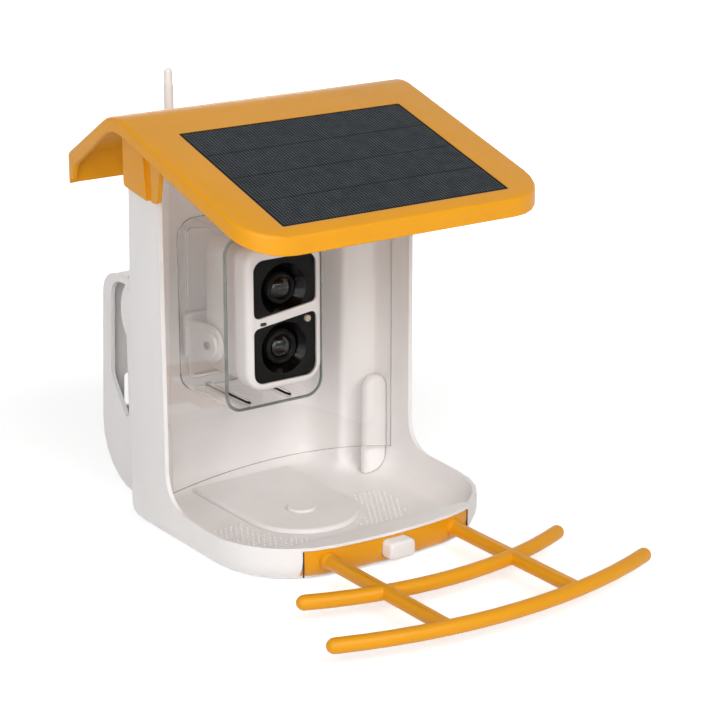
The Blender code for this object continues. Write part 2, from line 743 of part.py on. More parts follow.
def make_hopper():
    """Clear front panel, clear bay, seed platform, its cap and the two guides."""
    half = HALF_WIDTH - WALL + PANEL_GROOVE - GAP
    edge = []
    for k in range(PANEL_EDGE_STEPS + 1):
        share = -1.0 + 2.0 * k / PANEL_EDGE_STEPS
        edge.append((share * half, PANEL_EDGE_SIDE_Z + PANEL_EDGE_RISE * (1.0 - share ** 2), 0.0))
    edge.append((half, PANEL_TOP, 0.0))
    edge.append((-half, PANEL_TOP, 0.0))
    panel = prism("hopper_panel", edge, PANEL_Y, PANEL_Y + PANEL_THICKNESS, "XZ", "clear")
    bay = box_corners(-BAY_HALF_WIDTH, BAY_BOTTOM, BAY_HALF_WIDTH, BAY_TOP, BAY_RADIUS)
    cut(panel, prism("panel_hole", bay, PANEL_Y - REACH, PANEL_Y + REACH, "XZ"))

    front = PANEL_Y + PANEL_THICKNESS + GAP
    rear = TUB_BACK_Y - GAP
    outer = box_corners(-BAY_HALF_WIDTH - BAY_WALL, BAY_BOTTOM - BAY_WALL, BAY_HALF_WIDTH + BAY_WALL,
                        BAY_TOP + BAY_WALL, BAY_RADIUS + BAY_WALL)
    tube = prism("camera_bay", outer, front, rear, "XZ", "clear")
    cut(tube, prism("bay_hollow", bay, front - REACH, rear - BAY_FLANGE_THICKNESS, "XZ"))
    cut(tube, prism("bay_rear_hole", flange_hole(0.0), rear - REACH, rear + REACH, "XZ"))
    for side in (-1.0, 1.0):
        x = RAIL_X * side
        wide = RAIL_WIDTH / 2.0
        start_y = front + RAIL_FRONT_SETBACK
        end_y = rear - BAY_FLANGE_THICKNESS / 2.0
        point_end = start_y + RAIL_POINT
        outline = [(x, start_y, 0.0), (x + wide, point_end, 0.0), (x + wide, end_y, 0.0),
                   (x - wide, end_y, 0.0), (x - wide, point_end, 0.0)]
        add(tube, prism("rail", outline, BAY_BOTTOM - BAY_WALL / 2.0, BAY_BOTTOM + RAIL_HEIGHT))
    weld(tube)

    base = FLOOR + GAP
    curve = BASE_FILLET - WALL
    half = PLATFORM_HALF_WIDTH
    round_end = half - WELD
    platform_rear = TUB_BACK_Y - WALL - curve - GAP
    plan = [(-half, CAP_Y - half, round_end), (half, CAP_Y - half, round_end), (half, platform_rear, 0.0),
            (-half, platform_rear, 0.0)]
    prism("seed_platform", plan, base, PLATFORM_TOP, "XY", "white", edge_high=PLATFORM_EDGE,
          steps=ARC_STEPS * 2)
    turned("floor_cap", [(CAP_RADIUS, PLATFORM_TOP + GAP), (CAP_RADIUS, PLATFORM_TOP + CAP_HEIGHT - CAP_EDGE),
                         (CAP_RADIUS - CAP_EDGE, PLATFORM_TOP + CAP_HEIGHT)], (0.0, CAP_Y, 0.0), "Z", "white")

    outside = HALF_WIDTH - WALL - GAP
    inside = outside - GUIDE_WIDTH
    round_top = GUIDE_WIDTH / 2.0 - TINY_RADIUS
    outline = [(inside, base, TINY_RADIUS), (outside, base, curve), (outside, GUIDE_TOP, round_top),
               (inside, GUIDE_TOP, round_top)]
    first = PANEL_Y + PANEL_THICKNESS + GUIDE_EDGE / 2.0
    prism("seed_guide_right", outline, first, first + GUIDE_DEPTH, "XZ", "white", edge_low=GUIDE_EDGE)
    prism("seed_guide_left", flip(outline), first, first + GUIDE_DEPTH, "XZ", "white", edge_low=GUIDE_EDGE)


def flange_hole(inset):
    """Corners of the hole in the bay's rear flange, drawn in by inset."""
    step = BAY_FLANGE_WIDTH + inset
    return box_corners(-BAY_HALF_WIDTH + step, BAY_BOTTOM + step, BAY_HALF_WIDTH - step, BAY_TOP - step,
                       BAY_RADIUS - BAY_FLANGE_WIDTH)


def make_roof():
    """Roof shell with its hinge webs, solar panel, junction box and cheeks."""
    roof = roof_solid("roof", 0.0, 0.0, 0.0, "orange")
    cut(roof, roof_solid("roof_hollow", ROOF_SIDE_WALL, ROOF_TOP_WALL, REACH))
    cut(roof, slope_block("solar_recess", SOLAR_HALF_WIDTH + GAP, SOLAR_LENGTH + 2.0 * GAP, -REACH,
                          SOLAR_THICKNESS + GAP + SOLAR_SINK + REACH, SOLAR_RADIUS))
    for side in (-1.0, 1.0):
        tag = "right" if side > 0.0 else "left"
        middle = HINGE_X * side
        low, high = middle - ROOF_KNUCKLE_HALF, middle + ROOF_KNUCKLE_HALF
        roof_z = roof_line(HINGE_Y) - ROOF_TOP_WALL / 2.0
        web = [(HINGE_Y - WEB_HALF, HINGE_Z, 0.0), (HINGE_Y + WEB_HALF, HINGE_Z, 0.0),
               (HINGE_Y + WEB_HALF, roof_line(HINGE_Y + WEB_HALF) - ROOF_TOP_WALL / 2.0, 0.0),
               (HINGE_Y - WEB_HALF, roof_z, 0.0)]
        add(roof, prism("roof_web_" + tag, web, low, high, "YZ"))
        add(roof, turned("roof_knuckle_" + tag, [(KNUCKLE_RADIUS, -ROOF_KNUCKLE_HALF),
                                                 (KNUCKLE_RADIUS, ROOF_KNUCKLE_HALF)],
                         (middle, HINGE_Y, HINGE_Z), "X", sides=SMALL_SIDES))
        reach = ROOF_KNUCKLE_HALF + GAP
        cut(roof, turned("roof_pin_hole_" + tag, [(PIN_RADIUS + PIN_CLEARANCE, -reach),
                                                  (PIN_RADIUS + PIN_CLEARANCE, reach)],
                         (middle, HINGE_Y, HINGE_Z), "X", sides=SMALL_SIDES))
        length = ROOF_KNUCKLE_HALF + GAP + HOUSING_KNUCKLE_LENGTH
        head = length + GAP
        profile = [(PIN_RADIUS, -length), (PIN_RADIUS, head), (PIN_HEAD_RADIUS, head + WELD),
                   (PIN_HEAD_RADIUS, head + PIN_HEAD)]
        turned("hinge_pin_" + tag, profile, (middle, HINGE_Y, HINGE_Z), "X", "steel", sides=SMALL_SIDES)
    weld(roof)

    slope_block("solar_panel", SOLAR_HALF_WIDTH, SOLAR_LENGTH, SOLAR_SINK, SOLAR_THICKNESS,
                SOLAR_RADIUS, "cells")
    slope = math.cos(math.atan(ROOF_FRONT_SLOPE_SHARE))
    slope_block("junction_box", BOX_WIDTH / 2.0, BOX_LENGTH, ROOF_TOP_WALL * slope + GAP, BOX_DEPTH,
                BOX_RADIUS, "black", edge=BOX_FILLET)

    rear_out = SHOULDER_Y - HINGE_Z * SHOULDER_LEAN_SHARE - CHEEK_REAR_SETBACK
    low_end = CHEEK_LOW_FRONT_Y + CHEEK_LOW_LENGTH
    outline = [(CHEEK_LOW_FRONT_Y, CHEEK_LOW_Z, CHEEK_RADIUS), (low_end, CHEEK_LOW_Z, CHEEK_RADIUS),
               (rear_out, CHEEK_REAR_LOW_Z, CHEEK_RADIUS)]
    top_steps = FINE_STEPS * 2
    for k in range(top_steps + 1):
        y = rear_out + (CHEEK_FRONT_Y - rear_out) * k / top_steps
        outline.append((y, roof_line(y) - ROOF_TOP_WALL - GAP * 2.0, 0.0))
    flute_front = CHEEK_LOW_FRONT_Y + FLUTE_FRONT_INSET
    flute_low = CHEEK_LOW_Z - GAP
    flute_high = roof_line(flute_front)
    flute = [(flute_front, flute_low, 0.0), (flute_front + FLUTE_FOOT_HALF * 2.0, flute_low, 0.0),
             (flute_front + FLUTE_TOP_HALF * 2.0, flute_high, 0.0), (flute_front, flute_high, 0.0)]
    inner_x = HALF_WIDTH + GAP
    outer_x = inner_x + CHEEK_THICKNESS
    for name, side in (("roof_cheek_right", 1.0), ("roof_cheek_left", -1.0)):
        low, high = sorted((side * inner_x, side * outer_x))
        cheek = prism(name, outline, low, high, "YZ", "orange", steps=FINE_STEPS)
        low, high = sorted((side * (outer_x - FLUTE_DEPTH), side * (outer_x + REACH)))
        cut(cheek, prism(name + "_flute", flute, low, high, "YZ"))
        weld(cheek)


def window_corners(lower, grow=0.0):
    """Corners of one camera window, grown outwards."""
    half = WINDOW_HALF_WIDTH + grow
    tilt = WINDOW_SPLIT_RISE / 2.0 * half / WINDOW_HALF_WIDTH
    big, small = WINDOW_RADIUS + grow, WINDOW_SMALL_RADIUS + grow
    if lower:
        edge = WINDOW_SPLIT_Z - WINDOW_BAND / 2.0 + grow
        return [(-half, WINDOW_BOTTOM - grow, big), (half, WINDOW_BOTTOM - grow, big),
                (half, edge + tilt, small), (-half, edge - tilt, small)]
    edge = WINDOW_SPLIT_Z + WINDOW_BAND / 2.0 - grow
    return [(-half, edge - tilt, small), (half, edge + tilt, small),
            (half, WINDOW_TOP + grow, big), (-half, WINDOW_TOP + grow, big)]


def make_camera():
    """Camera shells, windows, optics and what they hold."""
    face = box_corners(-CAMERA_HALF_WIDTH, CAMERA_BOTTOM, CAMERA_HALF_WIDTH, CAMERA_TOP, CAMERA_RADIUS)
    inner = box_corners(-CAMERA_HALF_WIDTH + SHELL_WALL, CAMERA_BOTTOM + SHELL_WALL,
                        CAMERA_HALF_WIDTH - SHELL_WALL, CAMERA_TOP - SHELL_WALL, CAMERA_RADIUS - SHELL_WALL)
    shell = prism("camera_front_shell", face, CAMERA_FRONT_Y, CAMERA_SEAM_Y, "XZ", "white",
                  edge_low=CAMERA_FACE_FILLET)
    back_of_face = CAMERA_FRONT_Y + SHELL_WALL
    cut(shell, prism("front_shell_hollow", inner, back_of_face, CAMERA_SEAM_Y + REACH, "XZ",
                     edge_low=CAMERA_FACE_FILLET - SHELL_WALL))
    for name, lower in (("window_upper", False), ("window_lower", True)):
        cut(shell, prism(name + "_hole", window_corners(lower, GAP), CAMERA_FRONT_Y - REACH,
                         CAMERA_SEAM_Y, "XZ"))
        glass = prism(name, window_corners(lower), CAMERA_FRONT_Y + GAP, back_of_face, "XZ", "window")
    cut(glass, turned("sensor_hole", [(SENSOR_RADIUS + GAP, CAMERA_FRONT_Y - REACH),
                                      (SENSOR_RADIUS + GAP, CAMERA_SEAM_Y)],
                      (SENSOR_X, 0.0, SENSOR_Z), "Y", sides=SMALL_SIDES))
    mic = box_corners(-MIC_X - MIC_HALF_LENGTH, MIC_Z - MIC_HALF_HEIGHT, -MIC_X + MIC_HALF_LENGTH,
                      MIC_Z + MIC_HALF_HEIGHT, MIC_HALF_HEIGHT - WELD)
    mic_hole = box_corners(-MIC_X - MIC_HALF_LENGTH - GAP, MIC_Z - MIC_HALF_HEIGHT - GAP,
                           -MIC_X + MIC_HALF_LENGTH + GAP, MIC_Z + MIC_HALF_HEIGHT + GAP, MIC_HALF_HEIGHT)
    cut(shell, prism("mic_hole", mic_hole, CAMERA_FRONT_Y - REACH, CAMERA_SEAM_Y, "XZ", steps=FINE_STEPS))
    weld(shell)
    turned("light_sensor", [(SENSOR_RADIUS, CAMERA_FRONT_Y), (SENSOR_RADIUS, CAMERA_FRONT_Y + SHELL_WALL)],
           (SENSOR_X, 0.0, SENSOR_Z), "Y", "amber", sides=SMALL_SIDES)
    prism("mic_grommet", mic, CAMERA_FRONT_Y, CAMERA_FRONT_Y + SHELL_WALL, "XZ", "rubber", steps=FINE_STEPS)

    optics_y = back_of_face + GAP
    step = SHELL_WALL + OPTICS_INSET + CAMERA_FACE_FILLET - SHELL_WALL
    block = box_corners(-CAMERA_HALF_WIDTH + step, CAMERA_BOTTOM + step, CAMERA_HALF_WIDTH - step,
                        CAMERA_TOP - step, CAMERA_RADIUS - step)
    optics = prism("optics_block", block, optics_y, optics_y + OPTICS_DEPTH, "XZ", "black")
    for tag, z, radius in (("upper", UPPER_LENS_Z, UPPER_BARREL_RADIUS),
                           ("lower", LOWER_LENS_Z, LOWER_BARREL_RADIUS)):
        hole = radius + GAP
        cut(optics, turned("recess_" + tag, [(RECESS_RADIUS, -GAP), (hole, RECESS_DEPTH),
                                             (hole, OPTICS_DEPTH + REACH)], (0.0, optics_y, z), "Y"))
        begin = optics_y + BARREL_SETBACK
        end = begin + BARREL_LENGTH
        lip = [(radius - BARREL_LIP / 2.0, begin), (radius, begin + BARREL_LIP / 2.0), (radius, end)]
        barrel = turned("lens_barrel_" + tag, lip, (0.0, 0.0, z), "Y", "black")
        well = radius * LENS_RADIUS_SHARE
        seat = begin + LENS_SINK
        hollow = [(radius - BARREL_LIP, begin - GAP), (well + GAP, seat),
                  (well + GAP, seat + LENS_THICKNESS + GAP * 2.0)]
        cut(barrel, turned("barrel_well_" + tag, hollow, (0.0, 0.0, z), "Y"))
        rim = seat + GAP + LENS_THICKNESS / 2.0
        dome = []
        for k in range(1, ARC_STEPS + 1):
            angle = math.pi / 2.0 * k / ARC_STEPS
            dome.append((well * math.sin(angle), rim - LENS_THICKNESS / 2.0 * math.cos(angle) ** 2))
        dome.append((well, rim + LENS_THICKNESS / 2.0))
        turned("lens_" + tag, dome, (0.0, 0.0, z), "Y", "lens")

    drawn = CAMERA_STEP
    body = box_corners(-CAMERA_HALF_WIDTH + drawn, CAMERA_BOTTOM + drawn, CAMERA_HALF_WIDTH - drawn,
                       CAMERA_TOP - drawn, CAMERA_RADIUS - drawn)
    deep = drawn + SHELL_WALL
    hollow = box_corners(-CAMERA_HALF_WIDTH + deep, CAMERA_BOTTOM + deep, CAMERA_HALF_WIDTH - deep,
                         CAMERA_TOP - deep, CAMERA_RADIUS - deep)
    rear = prism("camera_rear_shell", body, CAMERA_SEAM_Y + GAP, CAMERA_REAR_Y, "XZ", "white",
                 edge_high=CAMERA_REAR_FILLET)
    cut(rear, prism("rear_shell_hollow", hollow, CAMERA_SEAM_Y - REACH, CAMERA_REAR_Y - SHELL_WALL, "XZ",
                    edge_high=CAMERA_REAR_FILLET - SHELL_WALL))
    wall_x = CAMERA_HALF_WIDTH - drawn
    hole = SCREW_SHANK_RADIUS + SCREW_CLEARANCE
    for side in (-1.0, 1.0):
        tag = "right" if side > 0.0 else "left"
        start_x, end_x = sorted((side * (wall_x - SHELL_WALL / 2.0), side * BOSS_END_X))
        add(rear, turned("pivot_boss_" + tag, [(BOSS_RADIUS, start_x), (BOSS_RADIUS, end_x)],
                         (0.0, PIVOT_Y, PIVOT_Z), "X"))
        start_x, end_x = sorted((side * (wall_x - deep * 2.0), side * (BOSS_END_X + REACH)))
        cut(rear, turned("pivot_hole_" + tag, [(hole, start_x), (hole, end_x)], (0.0, PIVOT_Y, PIVOT_Z), "X",
                         sides=SMALL_SIDES))
    weld(rear)

    prism("main_board", box_corners(-BOARD_HALF_WIDTH, BOARD_BOTTOM, BOARD_HALF_WIDTH, BOARD_TOP, BOX_RADIUS),
          BOARD_Y, BOARD_Y + BOARD_THICKNESS, "XZ", "board", steps=FINE_STEPS)
    for tag, x in (("left", -CELL_X), ("right", CELL_X)):
        turned("battery_cell_" + tag, [(CELL_RADIUS, CELL_BOTTOM), (CELL_RADIUS, CELL_BOTTOM + CELL_LENGTH),
                                       (CELL_CAP_RADIUS, CELL_BOTTOM + CELL_LENGTH + WELD),
                                       (CELL_CAP_RADIUS, CELL_BOTTOM + CELL_LENGTH + CELL_CAP)],
               (x, CELL_Y, 0.0), "Z", "cell_wrap", sides=SMALL_SIDES)
    speaker_rear = CAMERA_REAR_Y - SHELL_WALL - SPEAKER_REAR_GAP
    speaker_front = speaker_rear - SPEAKER_THICKNESS
    turned("loudspeaker", [(SPEAKER_MAGNET_RADIUS, speaker_front - SPEAKER_MAGNET),
                           (SPEAKER_MAGNET_RADIUS, speaker_front), (SPEAKER_RADIUS, speaker_front + WELD),
                           (SPEAKER_RADIUS, speaker_rear)], (0.0, 0.0, SPEAKER_Z), "Y", "black")


def make_yoke():
    """Yoke, pivot discs and pivot screws."""
    inner_x = BOSS_END_X + GAP
    outer_x = inner_x + ARM_THICKNESS
    rear = TUB_BACK_Y - GAP - BAY_FLANGE_THICKNESS - GAP
    plate_front = rear - YOKE_PLATE_THICKNESS
    plate = box_corners(-YOKE_PLATE_HALF_WIDTH, PIVOT_Z - YOKE_PLATE_HALF_HEIGHT, YOKE_PLATE_HALF_WIDTH,
                        PIVOT_Z + YOKE_PLATE_HALF_HEIGHT, SHOULDER_RADIUS)
    yoke = prism("camera_yoke", plate, plate_front, rear, "XZ", "white", steps=FINE_STEPS)
    arm = [(PIVOT_Y - ARM_RADIUS, PIVOT_Z - ARM_RADIUS, ARM_RADIUS - WELD),
           (PIVOT_Y + ARM_RADIUS, PIVOT_Z - ARM_RADIUS, ARM_RADIUS),
           (plate_front + YOKE_PLATE_THICKNESS / 2.0, PIVOT_Z - ARM_HALF_HEIGHT, 0.0),
           (plate_front + YOKE_PLATE_THICKNESS / 2.0, PIVOT_Z + ARM_HALF_HEIGHT, 0.0),
           (PIVOT_Y + ARM_RADIUS, PIVOT_Z + ARM_RADIUS, ARM_RADIUS),
           (PIVOT_Y - ARM_RADIUS, PIVOT_Z + ARM_RADIUS, ARM_RADIUS - WELD)]
    for side in (-1.0, 1.0):
        tag = "right" if side > 0.0 else "left"
        low, high = sorted((side * inner_x, side * outer_x))
        add(yoke, prism("yoke_arm_" + tag, arm, low, high, "YZ"))
        hole = SCREW_SHANK_RADIUS + SCREW_CLEARANCE
        low, high = sorted((side * (inner_x - GAP), side * (outer_x + GAP)))
        cut(yoke, turned("yoke_hole_" + tag, [(hole, low), (hole, high)], (0.0, PIVOT_Y, PIVOT_Z), "X",
                         sides=SMALL_SIDES))
        begin = outer_x + GAP
        low, high = sorted((side * begin, side * (begin + DISC_THICKNESS)))
        disc = turned("pivot_disc_" + tag, [(DISC_RADIUS, low), (DISC_RADIUS, high)], (0.0, PIVOT_Y, PIVOT_Z),
                      "X", "white")
        cut(disc, turned("disc_hole_" + tag, [(hole, low - GAP), (hole, high + GAP)], (0.0, PIVOT_Y, PIVOT_Z),
                         "X", sides=SMALL_SIDES))
        head = begin + DISC_THICKNESS + GAP
        profile = [(SCREW_SHANK_RADIUS, side * (head - SCREW_LENGTH)), (SCREW_SHANK_RADIUS, side * head),
                   (SCREW_HEAD_RADIUS, side * (head + WELD)), (SCREW_HEAD_RADIUS, side * (head + SCREW_HEAD))]
        turned("pivot_screw_" + tag, profile, (0.0, PIVOT_Y, PIVOT_Z), "X", "steel", sides=SMALL_SIDES)
    weld(yoke)


def make_rear_cap():
    """Rear cap of the bay, its seal and the antenna."""
    margin = BAY_WALL + REAR_CAP_MARGIN
    bottom, top = BAY_BOTTOM - margin, BAY_TOP + margin
    seal_y = TUB_BACK_Y + GAP
    cap_y = seal_y + SEAL_THICKNESS + GAP
    outline = box_corners(-REAR_CAP_HALF_WIDTH, bottom, REAR_CAP_HALF_WIDTH, top, REAR_CAP_RADIUS)
    rear = cap_y + REAR_CAP_THICKNESS
    cap = prism("rear_cap", outline, cap_y, rear, "XZ", "white", edge_high=REAR_CAP_FILLET)
    collar_front = TUB_BACK_Y - GAP - BAY_FLANGE_THICKNESS
    collar = prism("cap_collar", flange_hole(GAP), collar_front, cap_y + REAR_CAP_THICKNESS / 2.0, "XZ")
    cut(collar, prism("collar_hollow", flange_hole(GAP + COLLAR_WALL), collar_front - REACH, cap_y, "XZ"))
    add(cap, collar)
    weld(cap)
    inset = SEAL_INSET
    ring = box_corners(-REAR_CAP_HALF_WIDTH + inset, bottom + inset, REAR_CAP_HALF_WIDTH - inset, top - inset,
                       REAR_CAP_RADIUS - inset)
    seal = prism("cap_seal", ring, seal_y, seal_y + SEAL_THICKNESS, "XZ", "rubber")
    inset = SEAL_INSET + SEAL_WIDTH
    ring = box_corners(-REAR_CAP_HALF_WIDTH + inset, bottom + inset, REAR_CAP_HALF_WIDTH - inset, top - inset,
                       REAR_CAP_RADIUS - inset)
    cut(seal, prism("seal_hollow", ring, seal_y - GAP, seal_y + SEAL_THICKNESS + GAP, "XZ"))

    base_y = rear + GAP
    base_end = base_y + ANTENNA_BASE_LENGTH
    foot = (ANTENNA_X, 0.0, ANTENNA_Z)
    turned("antenna_base", [(ANTENNA_BASE_RADIUS, base_y), (ANTENNA_BASE_RADIUS, base_end - CAP_EDGE),
                            (ANTENNA_BASE_RADIUS - CAP_EDGE, base_end)], foot, "Y", "white")
    elbow_y = base_end + GAP
    elbow_end = elbow_y + ELBOW_LENGTH
    elbow = turned("antenna_elbow", [(ELBOW_RADIUS, elbow_y), (ELBOW_RADIUS, elbow_end)], foot, "Y", "white")
    joint = (ANTENNA_X, ANTENNA_Y, ANTENNA_Z)
    ear_in = TONGUE_THICKNESS / 2.0 + GAP
    ear_root = elbow_y + ELBOW_LENGTH / 2.0
    ear_round = EAR_RADIUS - WELD
    ear = [(ear_root, ANTENNA_Z - EAR_RADIUS, 0.0),
           (ANTENNA_Y + EAR_RADIUS, ANTENNA_Z - EAR_RADIUS, ear_round),
           (ANTENNA_Y + EAR_RADIUS, ANTENNA_Z + EAR_RADIUS, ear_round),
           (ear_root, ANTENNA_Z + EAR_RADIUS, 0.0)]
    for low, high in both_sides(ear_in, ear_in + EAR_THICKNESS):
        add(elbow, prism("antenna_ear", ear, ANTENNA_X + low, ANTENNA_X + high, "YZ"))
    pin = ANTENNA_PIN_RADIUS + PIN_CLEARANCE
    wide = ear_in + EAR_THICKNESS + GAP
    cut(elbow, turned("ear_hole", [(pin, -wide), (pin, wide)], joint, "X", sides=SMALL_SIDES))
    weld(elbow)
    pin_end = ear_in + EAR_THICKNESS
    shank = [(ANTENNA_PIN_RADIUS, -pin_end), (ANTENNA_PIN_RADIUS, pin_end)]
    turned("antenna_pin", shank, joint, "X", "steel", sides=SMALL_SIDES)

    tongue_half = TONGUE_THICKNESS / 2.0
    reach = EAR_RADIUS - GAP * 2.0
    outline = [(ANTENNA_Y - reach, ANTENNA_Z - reach, ANTENNA_TIP_RADIUS),
               (ANTENNA_Y + reach, ANTENNA_Z - reach, ANTENNA_TIP_RADIUS),
               (ANTENNA_Y + ANTENNA_TIP_RADIUS, ANTENNA_Z + TONGUE_RISE, 0.0),
               (ANTENNA_Y - ANTENNA_TIP_RADIUS, ANTENNA_Z + TONGUE_RISE, 0.0)]
    start_z = ANTENNA_Z + TONGUE_RISE - ANTENNA_RADIUS / 2.0
    step_z = ANTENNA_TIP - ANTENNA_TIP_LENGTH
    profile = [(ANTENNA_RADIUS, start_z), (ANTENNA_RADIUS, step_z), (ANTENNA_TIP_RADIUS, step_z + WELD)]
    for k in range(FINE_STEPS):
        angle = math.pi / 2.0 * k / FINE_STEPS
        profile.append((ANTENNA_TIP_RADIUS * math.cos(angle),
                        ANTENNA_TIP - ANTENNA_TIP_RADIUS * (1.0 - math.sin(angle))))
    rod = turned("antenna_rod", profile, (ANTENNA_X, ANTENNA_Y, 0.0), "Z", "white", sides=SMALL_SIDES)
    add(rod, prism("antenna_tongue", outline, ANTENNA_X - tongue_half, ANTENNA_X + tongue_half, "YZ"))
    cut(rod, turned("tongue_hole", [(pin, -wide), (pin, wide)], joint, "X", sides=SMALL_SIDES))
    weld(rod)


def bowed_bar(name, half, front_y, bow, radius):
    """One perch bar: an arc with rounded ends."""
    path, radii = [], []
    for k in range(FINE_STEPS, 0, -1):
        angle = math.pi / 2.0 * k / (FINE_STEPS + 1)
        path.append(-half - radius * math.sin(angle))
        radii.append(radius * math.cos(angle))
    for k in range(BAR_STEPS + 1):
        path.append(-half + 2.0 * half * k / BAR_STEPS)
        radii.append(radius)
    for k in range(1, FINE_STEPS + 1):
        angle = math.pi / 2.0 * k / (FINE_STEPS + 1)
        path.append(half + radius * math.sin(angle))
        radii.append(radius * math.cos(angle))
    points = [(x, front_y + bow - math.sqrt(bow ** 2 - x ** 2), PERCH_Z) for x in path]
    return bar(name, points, radii)


def make_perch():
    """Perch with its insert, release button and button spring."""
    perch = plan_loft("perch", 0.0, BASE_FILLET, RIM_TOP, 0.0, "orange")
    keep(perch, prism("insert_keep", box_corners(-INSERT_HALF_WIDTH, FRONT_POINT_Y - REACH, INSERT_HALF_WIDTH,
                                                 INSERT_BACK_Y), INSERT_BOTTOM, INSERT_TOP))
    add(perch, bowed_bar("perch_inner_bar", INNER_BAR_HALF, INNER_BAR_Y, INNER_BAR_BOW, ROD_RADIUS),
        bowed_bar("perch_outer_bar", OUTER_BAR_HALF, OUTER_BAR_Y, OUTER_BAR_BOW, ROD_RADIUS))
    end_y = OUTER_BAR_Y + OUTER_BAR_BOW - math.sqrt(OUTER_BAR_BOW ** 2 - ARM_X ** 2)
    for x in (-ARM_X, ARM_X):
        add(perch, bar("perch_arm", [(x, INSERT_BACK_Y - ROD_RADIUS, PERCH_Z), (x, end_y, PERCH_Z)],
                       [ROD_RADIUS, ROD_RADIUS]))
    way = GAP * 1.5
    low, high = BUTTON_Z - BUTTON_HALF_HEIGHT, BUTTON_Z + BUTTON_HALF_HEIGHT
    wide = BUTTON_HALF_WIDTH + way
    mouth = box_corners(-wide, low - way, wide, high + way, BUTTON_RADIUS + way)
    cut(perch, prism("button_mouth", mouth, BUTTON_FRONT_Y, INSERT_BACK_Y + REACH, "XZ"))
    flange_half = BUTTON_HALF_WIDTH + BUTTON_FLANGE
    chamber = box_corners(-flange_half - way, low - way, flange_half + way, high + way)
    cut(perch, prism("button_chamber", chamber, BUTTON_FLANGE_FRONT_Y - GAP, INSERT_BACK_Y + REACH, "XZ"))
    weld(perch)

    face = box_corners(-BUTTON_HALF_WIDTH, low, BUTTON_HALF_WIDTH, high, BUTTON_RADIUS)
    flange_back = BUTTON_FLANGE_FRONT_Y + BUTTON_FLANGE_THICKNESS
    face_back = flange_back - BUTTON_FLANGE_THICKNESS / 2.0
    button = prism("release_button", face, BUTTON_FRONT_Y, face_back, "XZ", "white", edge_low=BUTTON_EDGE)
    flange = box_corners(-flange_half, low, flange_half, high)
    add(button, prism("button_flange", flange, BUTTON_FLANGE_FRONT_Y, flange_back, "XZ"))
    weld(button)

    first = flange_back + GAP + SPRING_WIRE
    last = INSERT_BACK_Y - SPRING_WIRE
    steps = SPRING_TURNS * SPRING_TURN_STEPS
    coil = []
    for k in range(steps + 1):
        angle = 2.0 * math.pi * k / SPRING_TURN_STEPS
        coil.append((SPRING_RADIUS * math.cos(angle), first + (last - first) * k / steps,
                     BUTTON_Z + SPRING_RADIUS * math.sin(angle)))
    bar("button_spring", coil, [SPRING_WIRE] * (steps + 1), SPRING_SIDES, "steel")


